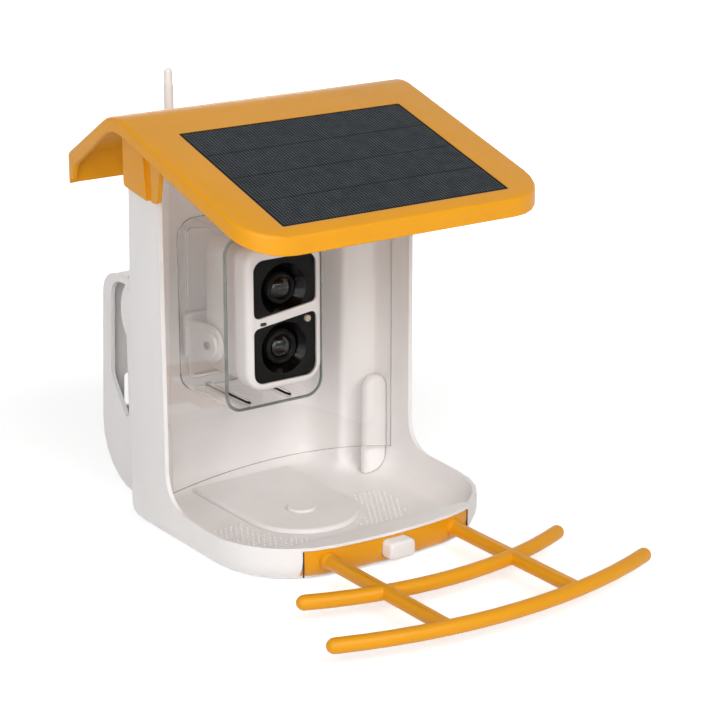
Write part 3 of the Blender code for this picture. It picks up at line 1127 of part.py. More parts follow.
def make_cradle():
    """Rear cradle and its two clamp knobs."""
    inner_half = TUB_HALF_WIDTH + GAP * 1.5
    outer_half = inner_half + CRADLE_WALL
    front_y = TUB_BACK_Y + GAP
    arm_front = CRADLE_ARM_Y - CRADLE_ARM_RADIUS
    arm_low = CRADLE_TOP - CRADLE_ARM_RADIUS * 2.0
    arm_round = CRADLE_ARM_RADIUS - WELD
    outline = [(front_y, CRADLE_FOOT_Z, TINY_RADIUS), (CRADLE_REAR_Y, CRADLE_FOOT_Z, CRADLE_CURVE_RADIUS),
               (CRADLE_REAR_TOP_Y, CRADLE_TOP, CRADLE_TOP_RADIUS), (arm_front, CRADLE_TOP, arm_round),
               (arm_front, arm_low, arm_round), (front_y, arm_low, CRADLE_INNER_RADIUS)]
    cradle = prism("rear_cradle", outline, -outer_half, outer_half, "YZ", "white")
    wall = CRADLE_WALL
    inside = [(front_y - wall, CRADLE_FOOT_Z + wall, TINY_RADIUS),
              (CRADLE_REAR_Y - wall, CRADLE_FOOT_Z + wall, CRADLE_CURVE_RADIUS - wall),
              (CRADLE_REAR_TOP_Y - wall, CRADLE_TOP - wall, CRADLE_TOP_RADIUS - wall),
              (front_y - wall, CRADLE_TOP - wall, TINY_RADIUS)]
    cut(cradle, prism("cradle_hollow", inside, -inner_half, inner_half, "YZ"))
    cut(cradle, prism("cradle_front", box_corners(arm_front - REACH, 0.0, CRADLE_PLATE_Y, CRADLE_TOP + REACH),
                      -inner_half, inner_half, "YZ"))
    centre = (0.0, CRADLE_ARM_Y, CRADLE_TOP - CRADLE_ARM_RADIUS)
    wide = outer_half + REACH
    lean = (CRADLE_REAR_Y - CRADLE_REAR_TOP_Y) / (CRADLE_TOP - CRADLE_FOOT_Z)
    cut_top = CRADLE_TOP - SIDE_CUT_TOP_RIM
    cut_front = front_y + SIDE_CUT_FRONT_SETBACK
    low_rear, top_rear = [CRADLE_REAR_Y - SIDE_CUT_RIM - lean * (z - CRADLE_FOOT_Z)
                          for z in (SIDE_CUT_REAR_Z, cut_top)]
    sides = prism("side_cuts", [(cut_front, SIDE_CUT_FRONT_Z, CRADLE_WALL),
                                (low_rear, SIDE_CUT_REAR_Z, SIDE_CUT_RADIUS),
                                (top_rear, cut_top, SIDE_CUT_RADIUS), (cut_front, cut_top, 0.0)],
                  -wide, wide, "YZ")
    cut(sides, turned("side_hub", [(SIDE_CUT_HUB_RADIUS, -wide - REACH), (SIDE_CUT_HUB_RADIUS, wide + REACH)],
                      centre, "X"))
    cut(cradle, sides)
    for x in (-STRAP_SLOT_X, STRAP_SLOT_X):
        strap = box_corners(x - STRAP_SLOT_HALF_WIDTH, STRAP_SLOT_Z - STRAP_SLOT_HALF_HEIGHT,
                            x + STRAP_SLOT_HALF_WIDTH, STRAP_SLOT_Z + STRAP_SLOT_HALF_HEIGHT,
                            STRAP_SLOT_HALF_WIDTH / 2.0)
        cut(cradle, prism("strap_slot", strap, CRADLE_PLATE_Y, CRADLE_REAR_Y + REACH, "XZ", steps=FINE_STEPS))
    for z in (WALL_HOLE_UPPER_Z, WALL_HOLE_LOWER_Z):
        profile = [(WALL_HOLE_RADIUS, CRADLE_PLATE_Y), (WALL_HOLE_RADIUS, CRADLE_REAR_Y + REACH)]
        cut(cradle, turned("wall_hole", profile, (0.0, 0.0, z), "Y", sides=SMALL_SIDES))
    weld(cradle)
    begin = outer_half + GAP
    for tag, side in (("right", 1.0), ("left", -1.0)):
        profile = [(KNOB_RADIUS, side * begin), (KNOB_RADIUS, side * (begin + KNOB_THICKNESS - KNOB_EDGE)),
                   (KNOB_RADIUS - KNOB_EDGE, side * (begin + KNOB_THICKNESS))]
        turned("clamp_knob_" + tag, profile, centre, "X", "white")


def hang(name, place_at, nodes):
    """Parents the named pieces to an empty that stands on their joint axis."""
    pivot = bpy.data.objects.new(name, None)
    pivot.location = place_at
    pivot.empty_display_size = ROD_RADIUS
    PARTS.objects.link(pivot)
    for node in nodes:
        item = bpy.data.objects[node]
        item.parent = pivot
        item.matrix_parent_inverse = Matrix.Translation(-Vector(place_at))
    return pivot


def hang_moving_pieces():
    """One empty for each joint, on its axis."""
    hang("roof_axis", (0.0, HINGE_Y, HINGE_Z),
         ("roof", "solar_panel", "junction_box", "roof_cheek_left", "roof_cheek_right"))
    hang("camera_axis", (0.0, PIVOT_Y, PIVOT_Z),
         ("camera_front_shell", "camera_rear_shell", "window_upper", "window_lower", "optics_block",
          "lens_barrel_upper", "lens_barrel_lower", "lens_upper", "lens_lower", "light_sensor",
          "mic_grommet", "main_board", "battery_cell_left", "battery_cell_right", "loudspeaker"))
    hang("swivel_axis", (ANTENNA_X, ANTENNA_Y, ANTENNA_Z), ("antenna_elbow", "antenna_pin"))
    hang("rod_axis", (ANTENNA_X, ANTENNA_Y, ANTENNA_Z), ("antenna_rod",))
    hang("perch_axis", (0.0, INSERT_BACK_Y, PERCH_Z), ("perch", "button_spring"))
    hang("button_axis", (0.0, BUTTON_FLANGE_FRONT_Y, BUTTON_Z), ("release_button",))


make_housing()
make_hopper()
make_roof()
make_camera()
make_yoke()
make_rear_cap()
make_perch()
make_cradle()
hang_moving_pieces()
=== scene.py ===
"""Looks of the smart bird feeder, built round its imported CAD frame."""

import functools
import json
import math

import bmesh
import bpy
from bpy.props import FloatProperty, FloatVectorProperty, IntProperty, PointerProperty
from bpy.types import Operator, Panel, PropertyGroup
from mathutils import Matrix, Vector
from mathutils.bvhtree import BVHTree


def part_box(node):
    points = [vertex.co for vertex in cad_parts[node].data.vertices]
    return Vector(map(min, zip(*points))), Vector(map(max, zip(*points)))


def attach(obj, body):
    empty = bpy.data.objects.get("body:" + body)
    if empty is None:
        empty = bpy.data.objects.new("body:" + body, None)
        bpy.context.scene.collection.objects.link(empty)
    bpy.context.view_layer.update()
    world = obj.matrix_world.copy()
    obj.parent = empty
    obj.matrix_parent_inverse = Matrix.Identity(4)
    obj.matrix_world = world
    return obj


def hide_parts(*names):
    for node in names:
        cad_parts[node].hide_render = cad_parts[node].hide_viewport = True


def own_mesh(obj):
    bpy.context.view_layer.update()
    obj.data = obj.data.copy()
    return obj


bl_info = {
    "name": "Bird Feeder Finish",
    "version": (1, 0, 0),
    "blender": (4, 5, 0),
    "location": "View3D > Sidebar > Feeder",
    "description": "Finishes the feeder's mouldings, clear parts, camera and solar panel",
    "category": "Object",
}

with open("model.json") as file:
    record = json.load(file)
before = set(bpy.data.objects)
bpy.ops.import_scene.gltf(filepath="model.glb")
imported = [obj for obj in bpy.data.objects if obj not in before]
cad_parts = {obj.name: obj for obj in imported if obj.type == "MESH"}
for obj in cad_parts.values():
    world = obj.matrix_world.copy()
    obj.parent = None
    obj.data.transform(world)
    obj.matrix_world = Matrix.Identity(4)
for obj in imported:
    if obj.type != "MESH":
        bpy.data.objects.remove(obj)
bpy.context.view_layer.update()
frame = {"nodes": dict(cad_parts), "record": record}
NODES = frame["nodes"]
MM = 0.001

# Points nearer than this are one point.
MERGE = 0.00002

# Angles in degrees: an edge that turns less than the first is welded away, one that turns more
# than the second is rolled over, and shading breaks where a surface turns more than its crease.
FLAT_TURN = 0.4
ROLL_TURN = 35.0
CREASE = 32.0
ROOF_CREASE = 24.0
SHELL_CREASE = 36.0
SMALL_CREASE = 60.0

# The part of a noise's values that a range is spread over.
NOISE_LOW = 0.3
NOISE_HIGH = 0.7

# How the warm white mouldings take the light, how far light sinks into them, how deep the grain
# of a moulding is, and how far the corners of the dots and of the softest forms are shaded round.
WHITE_FINISH = {"roughness": 0.42, "subsurface": 0.05, "shine": 0.35}
SUBSURFACE_DEPTH = 3.0 * MM
SUBSURFACE_SPREAD = (1.0, 0.8, 0.6)
GRAIN_DEPTH = 0.1 * MM
BEVEL_SAMPLES = 6
DOT_EDGE = 0.2 * MM
SOFT_EDGE = 3.0 * MM

# A face of the clear panel is part of its cut edges where the normal's Y is smaller than this.
EDGE_NORMAL_Y = 0.5

# The field of the tray's drain dots: two patches between an inner and an outer circle about the
# floor cap, clear of the platform in the middle, in rows that are staggered as in a honeycomb.
# A dot stands this high, and is sunk in the floor as deep.
DRAIN_FRONT_Y = -33.0 * MM
DRAIN_REAR_Y = 22.0 * MM
DRAIN_INNER = 47.0 * MM
DRAIN_OUTER = 75.0 * MM
DRAIN_MIDDLE = 22.0 * MM
TRAY_FLOOR = 3.2 * MM
ROW_TURN = 60.0
DOT_HEIGHT = 0.3 * MM
DOT_SIDES = 16

# The solar panel's thickness, and the marks on its top face. The gaps stand this many times as
# high as the ribs.
PANEL_DEPTH = 2.5 * MM
RIB_HEIGHT = 0.06 * MM
STRING_GAP = 0.4 * MM
STRING_PROUD = 1.5
GRID_MARGIN = 1.2 * MM

# The round bowls in the optics block, as a radius and a depth, and each lens dome's radius and
# rise, the upper one first.
BOWL_RADIUS = 17.0 * MM
BOWL_DEPTH = 4.0 * MM
BOWL_STEPS = 96
DOME_SIZES = ((8.8 * MM, 3.9 * MM), (8.4 * MM, 3.7 * MM))
DOME_SETBACK = 0.3 * MM
DOME_STEPS = 64

# The cross recess in the pivot screws.
CROSS_SIZES = {"Cross Depth": 1.8 * MM, "Cross Length": 4.2 * MM, "Cross Width": 1.0 * MM}

# The perch's insert with painted shade in the gaps at its ends, and the swollen roots of its two
# rods. Its front face is found by a ray from RAY_START_Y, at a height that is clear of the rods.
INSERT_HALF = 68.696 * MM
INSERT_LOW = 5.5 * MM
GAP_WIDTH = 0.6 * MM
GAP_PROUD = 0.04 * MM
ROD_X = 52.396 * MM
ROD_Z = 16.5 * MM
ROD_RADIUS = 5.2 * MM
CLEAR_OF_RODS = 22.8 * MM
RAY_START_Y = -1.0
COLLAR_RADIUS = 6.6 * MM
COLLAR_LENGTH = 5.0 * MM
COLLAR_SUNK = 1.0 * MM
COLLAR_ROLL = 0.8 * MM
COLLAR_SIDES = 32

# The camera that took the photograph: its place, its three axes and its lens.
EYE = (-0.8571465, -1.2790175, 0.60924)
VIEW_RIGHT = (0.8178240012948369, -0.5754683912318939, -0.00018330051365655)
VIEW_UP = (0.17378300967892435, 0.2466671695604842, 0.9533911962085417)
VIEW_AHEAD = (0.5486012836778978, 0.7797380573974796, -0.3017369606013945)
LENS_MM = 115.2
SENSOR_MM = 36.0
CLIP_NEAR = 0.05
CLIP_FAR = 100.0

# The soft square lamps: name, place, width of the square and power in watts.
LAMP_TARGET = (0.0, -0.02, 0.15)
LAMPS = (
    ("key_lamp", (0.0, -2.294, 1.756), 1.6, 33.0),
    ("left_lamp", (-1.912, -1.912, 0.875), 1.6, 27.0),
    ("high_lamp", (-1.56, -1.56, 1.874), 1.6, 13.0),
    ("rear_lamp", (0.9, 2.9, 0.6), 2.0, 20.0),
    ("side_lamp", (-2.705, 0.0, 0.875), 1.6, 3.0),
)

# The floor and the world. Where the floor is seen, it adds white that grows over this reach. The
# world lights the feeder with the first strength and is seen with the second.
FLOOR_HALF = 12.0
FLOOR_TONE = 0.86
LIFT_REACH = (0.25, 0.9)
LIFT_WHITE = (0.58, 0.96)
WORLD_LIGHT = 0.18
WORLD_SEEN = 1.0


class FeederSizes(PropertyGroup):
    """Sizes of the small forms that the frame leaves to this finish."""

    edge: FloatProperty(
        name="Edge Rounding", description="Radius that softens the mouldings' corners",
        default=0.5 * MM, min=0.0, unit="LENGTH")
    grain: FloatProperty(
        name="Grain Size", description="Size of the moulded surface's fine grain",
        default=0.5 * MM, min=0.01 * MM, unit="LENGTH")
    dot: FloatProperty(
        name="Drain Dot", description="Radius of one drain dot in the tray",
        default=0.9 * MM, min=0.1 * MM, unit="LENGTH")
    dot_pitch: FloatProperty(
        name="Drain Dot Pitch", description="Distance between neighbouring drain dots",
        default=4.3 * MM, min=1.0 * MM, unit="LENGTH")
    rib_pitch: FloatProperty(
        name="Rib Pitch", description="Distance between the solar panel's fine ribs",
        default=2.3 * MM, min=0.5 * MM, unit="LENGTH")
    rib: FloatProperty(
        name="Rib Width", description="Width of one fine rib on the solar panel",
        default=0.80 * MM, min=0.05 * MM, unit="LENGTH")
    cross_rib: FloatProperty(
        name="Cross Rib Width", description="Width of one rib that runs across the panel",
        default=0.34 * MM, min=0.05 * MM, unit="LENGTH")
    strings: IntProperty(
        name="Cell Strings", description="Number of strips that the panel is divided into",
        default=4, min=1)


class FeederColours(PropertyGroup):
    """Colours of the feeder's finishes."""

    white: FloatVectorProperty(
        name="White Plastic", description="Colour of the warm white mouldings",
        subtype="COLOR", size=3, default=(0.925, 0.899, 0.888), min=0.0, max=1.0)
    orange: FloatVectorProperty(
        name="Orange Plastic", description="Colour of the roof and perch",
        subtype="COLOR", size=3, default=(0.82, 0.345, 0.004), min=0.0, max=1.0)
    clear: FloatVectorProperty(
        name="Clear Plastic", description="Tint of the clear panel and bay",
        subtype="COLOR", size=3, default=(0.99, 0.988, 0.986), min=0.0, max=1.0)
    cells: FloatVectorProperty(
        name="Solar Cells", description="Colour between the panel's ribs",
        subtype="COLOR", size=3, default=(0.0008, 0.0009, 0.0012), min=0.0, max=1.0)
    ribs: FloatVectorProperty(
        name="Solar Ribs", description="Colour of the panel's fine ribs",
        subtype="COLOR", size=3, default=(0.070, 0.082, 0.094), min=0.0, max=1.0)


def sizes():
    """The scene's feeder sizes."""
    return bpy.context.scene.feeder_sizes


def colours():
    """The scene's feeder colours."""
    return bpy.context.scene.feeder_colours


def link(tree, a, b):
    """Joins an output socket to an input socket."""
    tree.links.new(a, b)


def new_material(name):
    """An empty node material with its shader and output."""
    material = bpy.data.materials.new(name)
    material.use_nodes = True
    tree = material.node_tree
    tree.nodes.clear()
    shader = tree.nodes.new("ShaderNodeBsdfPrincipled")
    output = tree.nodes.new("ShaderNodeOutputMaterial")
    link(tree, shader.outputs["BSDF"], output.inputs["Surface"])
    return material, tree, shader


def built_once(name):
    """Lets the wrapped function fill the material of that name at its first use only."""
    def wrap(fill):
        @functools.wraps(fill)
        def fetch():
            material = bpy.data.materials.get(name)
            if material is None:
                material, tree, shader = new_material(name)
                fill(tree, shader)
            return material
        return fetch
    return wrap


def object_noise(tree, scale, detail=2.0, stretch=(1.0, 1.0, 1.0)):
    """Noise that sits on the object's own coordinates."""
    place = tree.nodes.new("ShaderNodeTexCoord")
    mapping = tree.nodes.new("ShaderNodeMapping")
    mapping.inputs["Scale"].default_value = stretch
    noise = tree.nodes.new("ShaderNodeTexNoise")
    noise.inputs["Scale"].default_value = scale
    noise.inputs["Detail"].default_value = detail
    link(tree, place.outputs["Object"], mapping.inputs["Vector"])
    link(tree, mapping.outputs["Vector"], noise.inputs["Vector"])
    return noise.outputs["Fac"]


def spread(tree, value, low, high):
    """Maps the middle part of a noise's values onto a range."""
    node = tree.nodes.new("ShaderNodeMapRange")
    node.inputs["From Min"].default_value = NOISE_LOW
    node.inputs["From Max"].default_value = NOISE_HIGH
    node.inputs["To Min"].default_value = low
    node.inputs["To Max"].default_value = high
    link(tree, value, node.inputs["Value"])
    return node.outputs["Result"]


def two_tones(tree, value, first, second):
    """A colour between two tones."""
    node = tree.nodes.new("ShaderNodeMix")
    node.data_type = "RGBA"
    node.inputs["A"].default_value = (*first, 1.0)
    node.inputs["B"].default_value = (*second, 1.0)
    link(tree, value, node.inputs["Factor"])
    return node.outputs["Result"]


def shade(colour, share):
    """A colour made darker or lighter."""
    return tuple(min(max(c * share, 0.0), 1.0) for c in colour)


def moulded(name, colour, roughness, gloss_change=0.06, tone_change=0.035, bump=0.05,
            subsurface=0.0, shine=0.5, edge=None):
    """Moulded plastic: faint flow tones, an uneven gloss, a fine grain and softened corners."""
    found = bpy.data.materials.get(name)
    if found:
        return found
    material, tree, shader = new_material(name)
    slow = object_noise(tree, scale=22.0, detail=3.0, stretch=(1.0, 1.0, 0.5))
    tone = two_tones(tree, spread(tree, slow, 0.0, 1.0), shade(colour, 1.0 - tone_change),
                     shade(colour, 1.0 + tone_change / 2.0))
    link(tree, tone, shader.inputs["Base Color"])
    gloss = spread(tree, object_noise(tree, scale=160.0, detail=4.0),
                   roughness - gloss_change, roughness + gloss_change)
    link(tree, gloss, shader.inputs["Roughness"])
    rounding = tree.nodes.new("ShaderNodeBevel")
    rounding.samples = BEVEL_SAMPLES
    rounding.inputs["Radius"].default_value = edge or sizes().edge
    grain = tree.nodes.new("ShaderNodeBump")
    grain.inputs["Strength"].default_value = bump
    grain.inputs["Distance"].default_value = GRAIN_DEPTH
    fine = object_noise(tree, scale=1.0 / sizes().grain, detail=1.0)
    link(tree, fine, grain.inputs["Height"])
    link(tree, rounding.outputs["Normal"], grain.inputs["Normal"])
    link(tree, grain.outputs["Normal"], shader.inputs["Normal"])
    if subsurface:
        shader.inputs["Subsurface Weight"].default_value = subsurface
        shader.inputs["Subsurface Scale"].default_value = SUBSURFACE_DEPTH
        shader.inputs["Subsurface Radius"].default_value = SUBSURFACE_SPREAD
    shader.inputs["Specular IOR Level"].default_value = shine
    return material


def white_plastic():
    """The warm white of the housing and the camera."""
    return moulded("warm_white_plastic", tuple(colours().white), **WHITE_FINISH)


def dot_painted_light_plastic():
    """The polished white of the tray's drain dots, paler than the mouldings as painted light for
    the lit far walls of drain holes.
    """
    return moulded("polished_white_plastic", (0.97, 0.96, 0.955), roughness=0.2, bump=0.0,
                   shine=0.6, edge=DOT_EDGE)


def soft_white_plastic():
    """The warm white on small forms with very round corners."""
    return moulded("soft_white_plastic", tuple(colours().white), edge=SOFT_EDGE, **WHITE_FINISH)


def orange_plastic():
    """The orange of the roof and the perch."""
    return moulded("satin_orange_plastic", tuple(colours().orange), roughness=0.38,
                   tone_change=0.03, shine=0.3)


def black_plastic():
    """Satin black behind the windows, and of the parts out of sight."""
    return moulded("satin_black_plastic", (0.017, 0.017, 0.0165), roughness=0.34, bump=0.08,
                   shine=0.08)


def bowl_black():
    """Glossy black of the bowls round the lenses."""
    return moulded("gloss_black_plastic", (0.003, 0.0025, 0.0025), roughness=0.07,
                   gloss_change=0.02, bump=0.0, shine=0.22)


def rubber_and_gap_shade():
    """Dull dark rubber, also used as painted shade in the gaps at the ends of the perch's insert.
    """
    return moulded("dark_rubber", (0.03, 0.03, 0.03), roughness=0.72, bump=0.12)


@built_once("clear_sheet")
def clear_plastic(tree, shader):
    """Clear moulded sheet with a faint haze where it has been wiped."""
    shader.inputs["Base Color"].default_value = (*colours().clear, 1.0)
    shader.inputs["Transmission Weight"].default_value = 1.0
    shader.inputs["IOR"].default_value = 1.45
    wiped = object_noise(tree, scale=14.0, detail=3.0, stretch=(1.0, 1.0, 0.35))
    haze = spread(tree, wiped, 0.0, 0.02)
    link(tree, haze, shader.inputs["Roughness"])
    let_light_through(tree, shader)


@built_once("clear_sheet_edge")
def edge_shade_plastic(tree, shader):
    """The clear parts' cut edges, painted a dark grey-green as painted shade for the light that
    the edges turn away.
    """
    tone = two_tones(tree, spread(tree, object_noise(tree, scale=30.0), 0.0, 1.0),
                     (0.20, 0.225, 0.21), (0.28, 0.30, 0.285))
    link(tree, tone, shader.inputs["Base Color"])
    shader.inputs["Roughness"].default_value = 0.18
    shader.inputs["Specular IOR Level"].default_value = 0.35


def let_light_through(tree, shader):
    """Lets shadow and diffuse rays pass a clear part, as its thin walls do."""
    path = tree.nodes.new("ShaderNodeLightPath")
    either = tree.nodes.new("ShaderNodeMath")
    either.operation = "MAXIMUM"
    link(tree, path.outputs["Is Shadow Ray"], either.inputs[0])
    link(tree, path.outputs["Is Diffuse Ray"], either.inputs[1])
    free = tree.nodes.new("ShaderNodeBsdfTransparent")
    free.inputs["Color"].default_value = (0.97, 0.966, 0.962, 1.0)
    mixed = tree.nodes.new("ShaderNodeMixShader")
    link(tree, either.outputs[0], mixed.inputs[0])
    link(tree, shader.outputs["BSDF"], mixed.inputs[1])
    link(tree, free.outputs[0], mixed.inputs[2])
    output = next(n for n in tree.nodes if n.type == "OUTPUT_MATERIAL")
    link(tree, mixed.outputs[0], output.inputs["Surface"])


@built_once("smoked_window")
def window_glass(tree, shader):
    """Smoked window over the lenses, whose IOR of 1 keeps the studio's reflection out of it."""
    shader.inputs["Base Color"].default_value = (0.80, 0.80, 0.80, 1.0)
    shader.inputs["Transmission Weight"].default_value = 1.0
    shader.inputs["IOR"].default_value = 1.0
    haze = spread(tree, object_noise(tree, scale=60.0), 0.0, 0.01)
    link(tree, haze, shader.inputs["Roughness"])
    let_light_through(tree, shader)


@built_once("coated_lens")
def lens_glass(tree, shader):
    """Coated lens glass, dark in its middle, with a painted reflection of the orange roof as a
    reddish dark at its rim.
    """
    # Painted reflection: towards the rim the colour turns reddish, for the roof's orange
    # underside mirrored in the lens.
    facing = tree.nodes.new("ShaderNodeLayerWeight")
    facing.inputs["Blend"].default_value = 0.35
    tone = two_tones(tree, facing.outputs["Facing"], (0.004, 0.003, 0.004),
                     (0.020, 0.008, 0.006))
    link(tree, tone, shader.inputs["Base Color"])
    smear = spread(tree, object_noise(tree, scale=300.0), 0.02, 0.05)
    link(tree, smear, shader.inputs["Roughness"])
    shader.inputs["IOR"].default_value = 1.5
    shader.inputs["Coat Weight"].default_value = 0.3
    shader.inputs["Coat Roughness"].default_value = 0.02


@built_once("plain_steel")
def steel(tree, shader):
    """Plain turned steel with fine machining marks."""
    colour = (0.55, 0.55, 0.56)
    shader.inputs["Metallic"].default_value = 1.0
    marks = object_noise(tree, scale=900.0, detail=3.0, stretch=(1.0, 0.12, 1.0))
    tone = two_tones(tree, marks, shade(colour, 0.85), shade(colour, 1.1))
    link(tree, tone, shader.inputs["Base Color"])
    link(tree, spread(tree, marks, 0.26, 0.40), shader.inputs["Roughness"])


@built_once("printed_board")
def circuit_board(tree, shader):
    """Green board with printed tracks."""
    place = tree.nodes.new("ShaderNodeTexCoord")
    bricks = tree.nodes.new("ShaderNodeTexBrick")
    bricks.inputs["Scale"].default_value = 90.0
    bricks.inputs["Mortar Size"].default_value = 0.03
    bricks.inputs["Color1"].default_value = (0.012, 0.11, 0.045, 1.0)
    bricks.inputs["Color2"].default_value = (0.014, 0.13, 0.055, 1.0)
    bricks.inputs["Mortar"].default_value = (0.04, 0.25, 0.12, 1.0)
    turn = tree.nodes.new("ShaderNodeMapping")
    turn.inputs["Rotation"].default_value = (math.radians(90.0), 0.0, 0.0)
    link(tree, place.outputs["Object"], turn.inputs["Vector"])
    link(tree, turn.outputs["Vector"], bricks.inputs["Vector"])
    link(tree, bricks.outputs["Color"], shader.inputs["Base Color"])
    shader.inputs["Roughness"].default_value = 0.3


def cell_wrap():
    """The blue sleeve of the battery cells."""
    return moulded("battery_wrap", (0.05, 0.13, 0.36), roughness=0.28, bump=0.02)


@built_once("frosted_amber")
def amber_plastic(tree, shader):
    """Frosted amber of the small light sensor, with painted shade that darkens it where it turns
    from view at its rim.
    """
    facing = tree.nodes.new("ShaderNodeLayerWeight")
    facing.inputs["Blend"].default_value = 0.5
    tone = two_tones(tree, facing.outputs["Facing"], (0.55, 0.47, 0.36),
                     (0.36, 0.27, 0.18))
    link(tree, tone, shader.inputs["Base Color"])
    shader.inputs["Roughness"].default_value = 0.22


@built_once("solar_sheet")
def solar_cells(tree, shader):
    """Dark cells under a clear textured sheet."""
    tone = two_tones(tree, spread(tree, object_noise(tree, scale=40.0), 0.0, 1.0),
                     shade(colours().cells, 0.8), shade(colours().cells, 1.4))
    link(tree, tone, shader.inputs["Base Color"])
    shader.inputs["Roughness"].default_value = 0.35
    shader.inputs["Specular IOR Level"].default_value = 0.04


@built_once("solar_ribs")
def solar_ribs(tree, shader):
    """Blue-grey ribs that the sheet's texture shows."""
    tone = two_tones(tree, spread(tree, object_noise(tree, scale=120.0), 0.0, 1.0),
                     shade(colours().ribs, 0.8), shade(colours().ribs, 1.25))
    link(tree, tone, shader.inputs["Base Color"])
    shader.inputs["Roughness"].default_value = 0.45
    shader.inputs["Specular IOR Level"].default_value = 0.04


def merged_copy(node):
    """A CAD node's mesh as one welded surface."""
    mesh = NODES[node].data.copy()
    made = bmesh.new()
    made.from_mesh(mesh)
    bmesh.ops.remove_doubles(made, verts=made.verts, dist=MERGE)
    bmesh.ops.dissolve_limit(made, angle_limit=math.radians(FLAT_TURN), verts=made.verts,
                             edges=made.edges)
    made.to_mesh(mesh)
    made.free()
    mesh.materials.clear()
    return mesh


def smooth(mesh, crease=CREASE):
    """Smooth shading broken at the edges that turn more than the crease."""
    mesh.polygons.foreach_set("use_smooth", [True] * len(mesh.polygons))
    made = bmesh.new()
    made.from_mesh(mesh)
    limit = math.radians(crease)
    for e in made.edges:
        e.smooth = len(e.link_faces) == 2 and e.calc_face_angle(0.0) <= limit
    made.to_mesh(mesh)
    made.free()


def place_piece(name, mesh, body, nodes=(), material=None):
    """Puts a finished mesh in the scene on its body."""
    mesh.name = name
    piece = bpy.data.objects.new(name, mesh)
    bpy.context.scene.collection.objects.link(piece)
    if material:
        mesh.materials.clear()
        mesh.materials.append(material)
    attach(piece, body)
    if nodes:
        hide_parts(*nodes)
    return piece


def middle_of(node):
    """The middle of a CAD node's box."""
    low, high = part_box(node)
    return (low + high) / 2.0


def body_of_node(node):
    """The body that a CAD node belongs to."""
    bodies = frame["record"]["behaviour"]["bodies"]
    return next(body for body, members in bodies.items() if node in members)


def evaluated(item):
    """The mesh that an object's modifiers leave. The object is taken out of the scene."""
    bpy.context.view_layer.update()
    seen = item.evaluated_get(bpy.context.evaluated_depsgraph_get())
    done = bpy.data.meshes.new_from_object(seen)
    bpy.data.objects.remove(item)
    return done


def rounded_mesh(mesh, width, segments=2):
    """The mesh with its sharp edges rolled over."""
    item = bpy.data.objects.new("edge_work", mesh)
    bpy.context.scene.collection.objects.link(item)
    bevel = item.modifiers.new("edge_roll", "BEVEL")
    bevel.width = width
    bevel.segments = segments
    bevel.limit_method = "ANGLE"
    bevel.angle_limit = math.radians(ROLL_TURN)
    bevel.use_clamp_overlap = True
    bevel.miter_outer = "MITER_ARC"
    return evaluated(item)


def stand_for(node, mesh, material, ending="_finished"):
    """Puts a finished mesh in the scene, in place of a CAD node."""
    return place_piece(node + ending, mesh, body_of_node(node), (node,),
                       material)


def add_to(node, name, mesh, material):
    """Puts a small extra form in the scene, on the body of a CAD node that stays as it is."""
    smooth(mesh, SMALL_CREASE)
    return place_piece(name, mesh, body_of_node(node), (), material)


def finish_node(node, material, crease=CREASE):
    """A welded, smooth copy of a CAD node in its real finish, which stands for the node."""
    mesh = merged_copy(node)
    smooth(mesh, crease)
    return stand_for(node, mesh, material)


def finish_nodes(nodes, material, crease=CREASE):
    """Finishes several like nodes."""
    for node in nodes:
        finish_node(node, material, crease)


class Tree:
    """A small helper that builds one geometry node tree."""

    def __init__(self, name):
        self.group = bpy.data.node_groups.new(name, "GeometryNodeTree")
        self.sockets = {}
        self.values = {}
        self.entry = self.group.nodes.new("NodeGroupInput")
        self.exit = self.group.nodes.new("NodeGroupOutput")
        for way in ("OUTPUT", "INPUT"):
            self.group.interface.new_socket("Geometry", in_out=way,
                                            socket_type="NodeSocketGeometry")

    def size(self, name, value, kind="NodeSocketFloat"):
        """A named input with its value."""
        self.sockets[name] = self.group.interface.new_socket(name, in_out="INPUT",
                                                             socket_type=kind)
        self.values[name] = value

    def source(self, name):
        """The output socket that carries a named input."""
        return self.entry.outputs[name]

    def add(self, kind, inputs=None, **settings):
        """Adds a node, with its inputs linked or set by name or index."""
        node = self.group.nodes.new(kind)
        for key, value in settings.items():
            setattr(node, key, value)
        for key, value in (inputs or {}).items():
            if isinstance(value, bpy.types.NodeSocket):
                self.group.links.new(value, node.inputs[key])
            else:
                node.inputs[key].default_value = value
        return node

    def vector(self, x, y, z):
        """A vector from three sockets or numbers."""
        return self.add("ShaderNodeCombineXYZ", {0: x, 1: y, 2: z}).outputs[0]

    def math(self, operation, a, b=0.0):
        """One arithmetic step."""
        return self.add("ShaderNodeMath", {0: a, 1: b}, operation=operation).outputs[0]

    def at_points(self, shape, points=None, turn=(0.0, 0.0, 0.0)):
        """A shape at each point, which are the tree's own where none are given."""
        return self.add("GeometryNodeInstanceOnPoints",
                        {"Points": points or self.source("Geometry"), "Instance": shape,
                         "Rotation": turn}).outputs[0]

    def close(self, geometry):
        """Ends the tree in realized instances and a set material."""
        real = self.add("GeometryNodeRealizeInstances", {"Geometry": geometry})
        paint = self.add("GeometryNodeSetMaterial",
                         {"Geometry": real.outputs[0], "Material": self.source("Material")})
        self.group.links.new(paint.outputs[0], self.exit.inputs[0])

    def run(self, mesh):
        """Runs the tree on a mesh and returns the plain result."""
        item = bpy.data.objects.new(self.group.name + "_work", mesh)
        bpy.context.scene.collection.objects.link(item)
        modifier = item.modifiers.new(self.group.name, "NODES")
        modifier.node_group = self.group
        for name, value in self.values.items():
            modifier[self.sockets[name].identifier] = value
        return evaluated(item)


def point_mesh(name, points):
    """A mesh of loose points for a tree to work on."""
    mesh = bpy.data.meshes.new(name)
    mesh.from_pydata([tuple(p) for p in points], [], [])
    return mesh


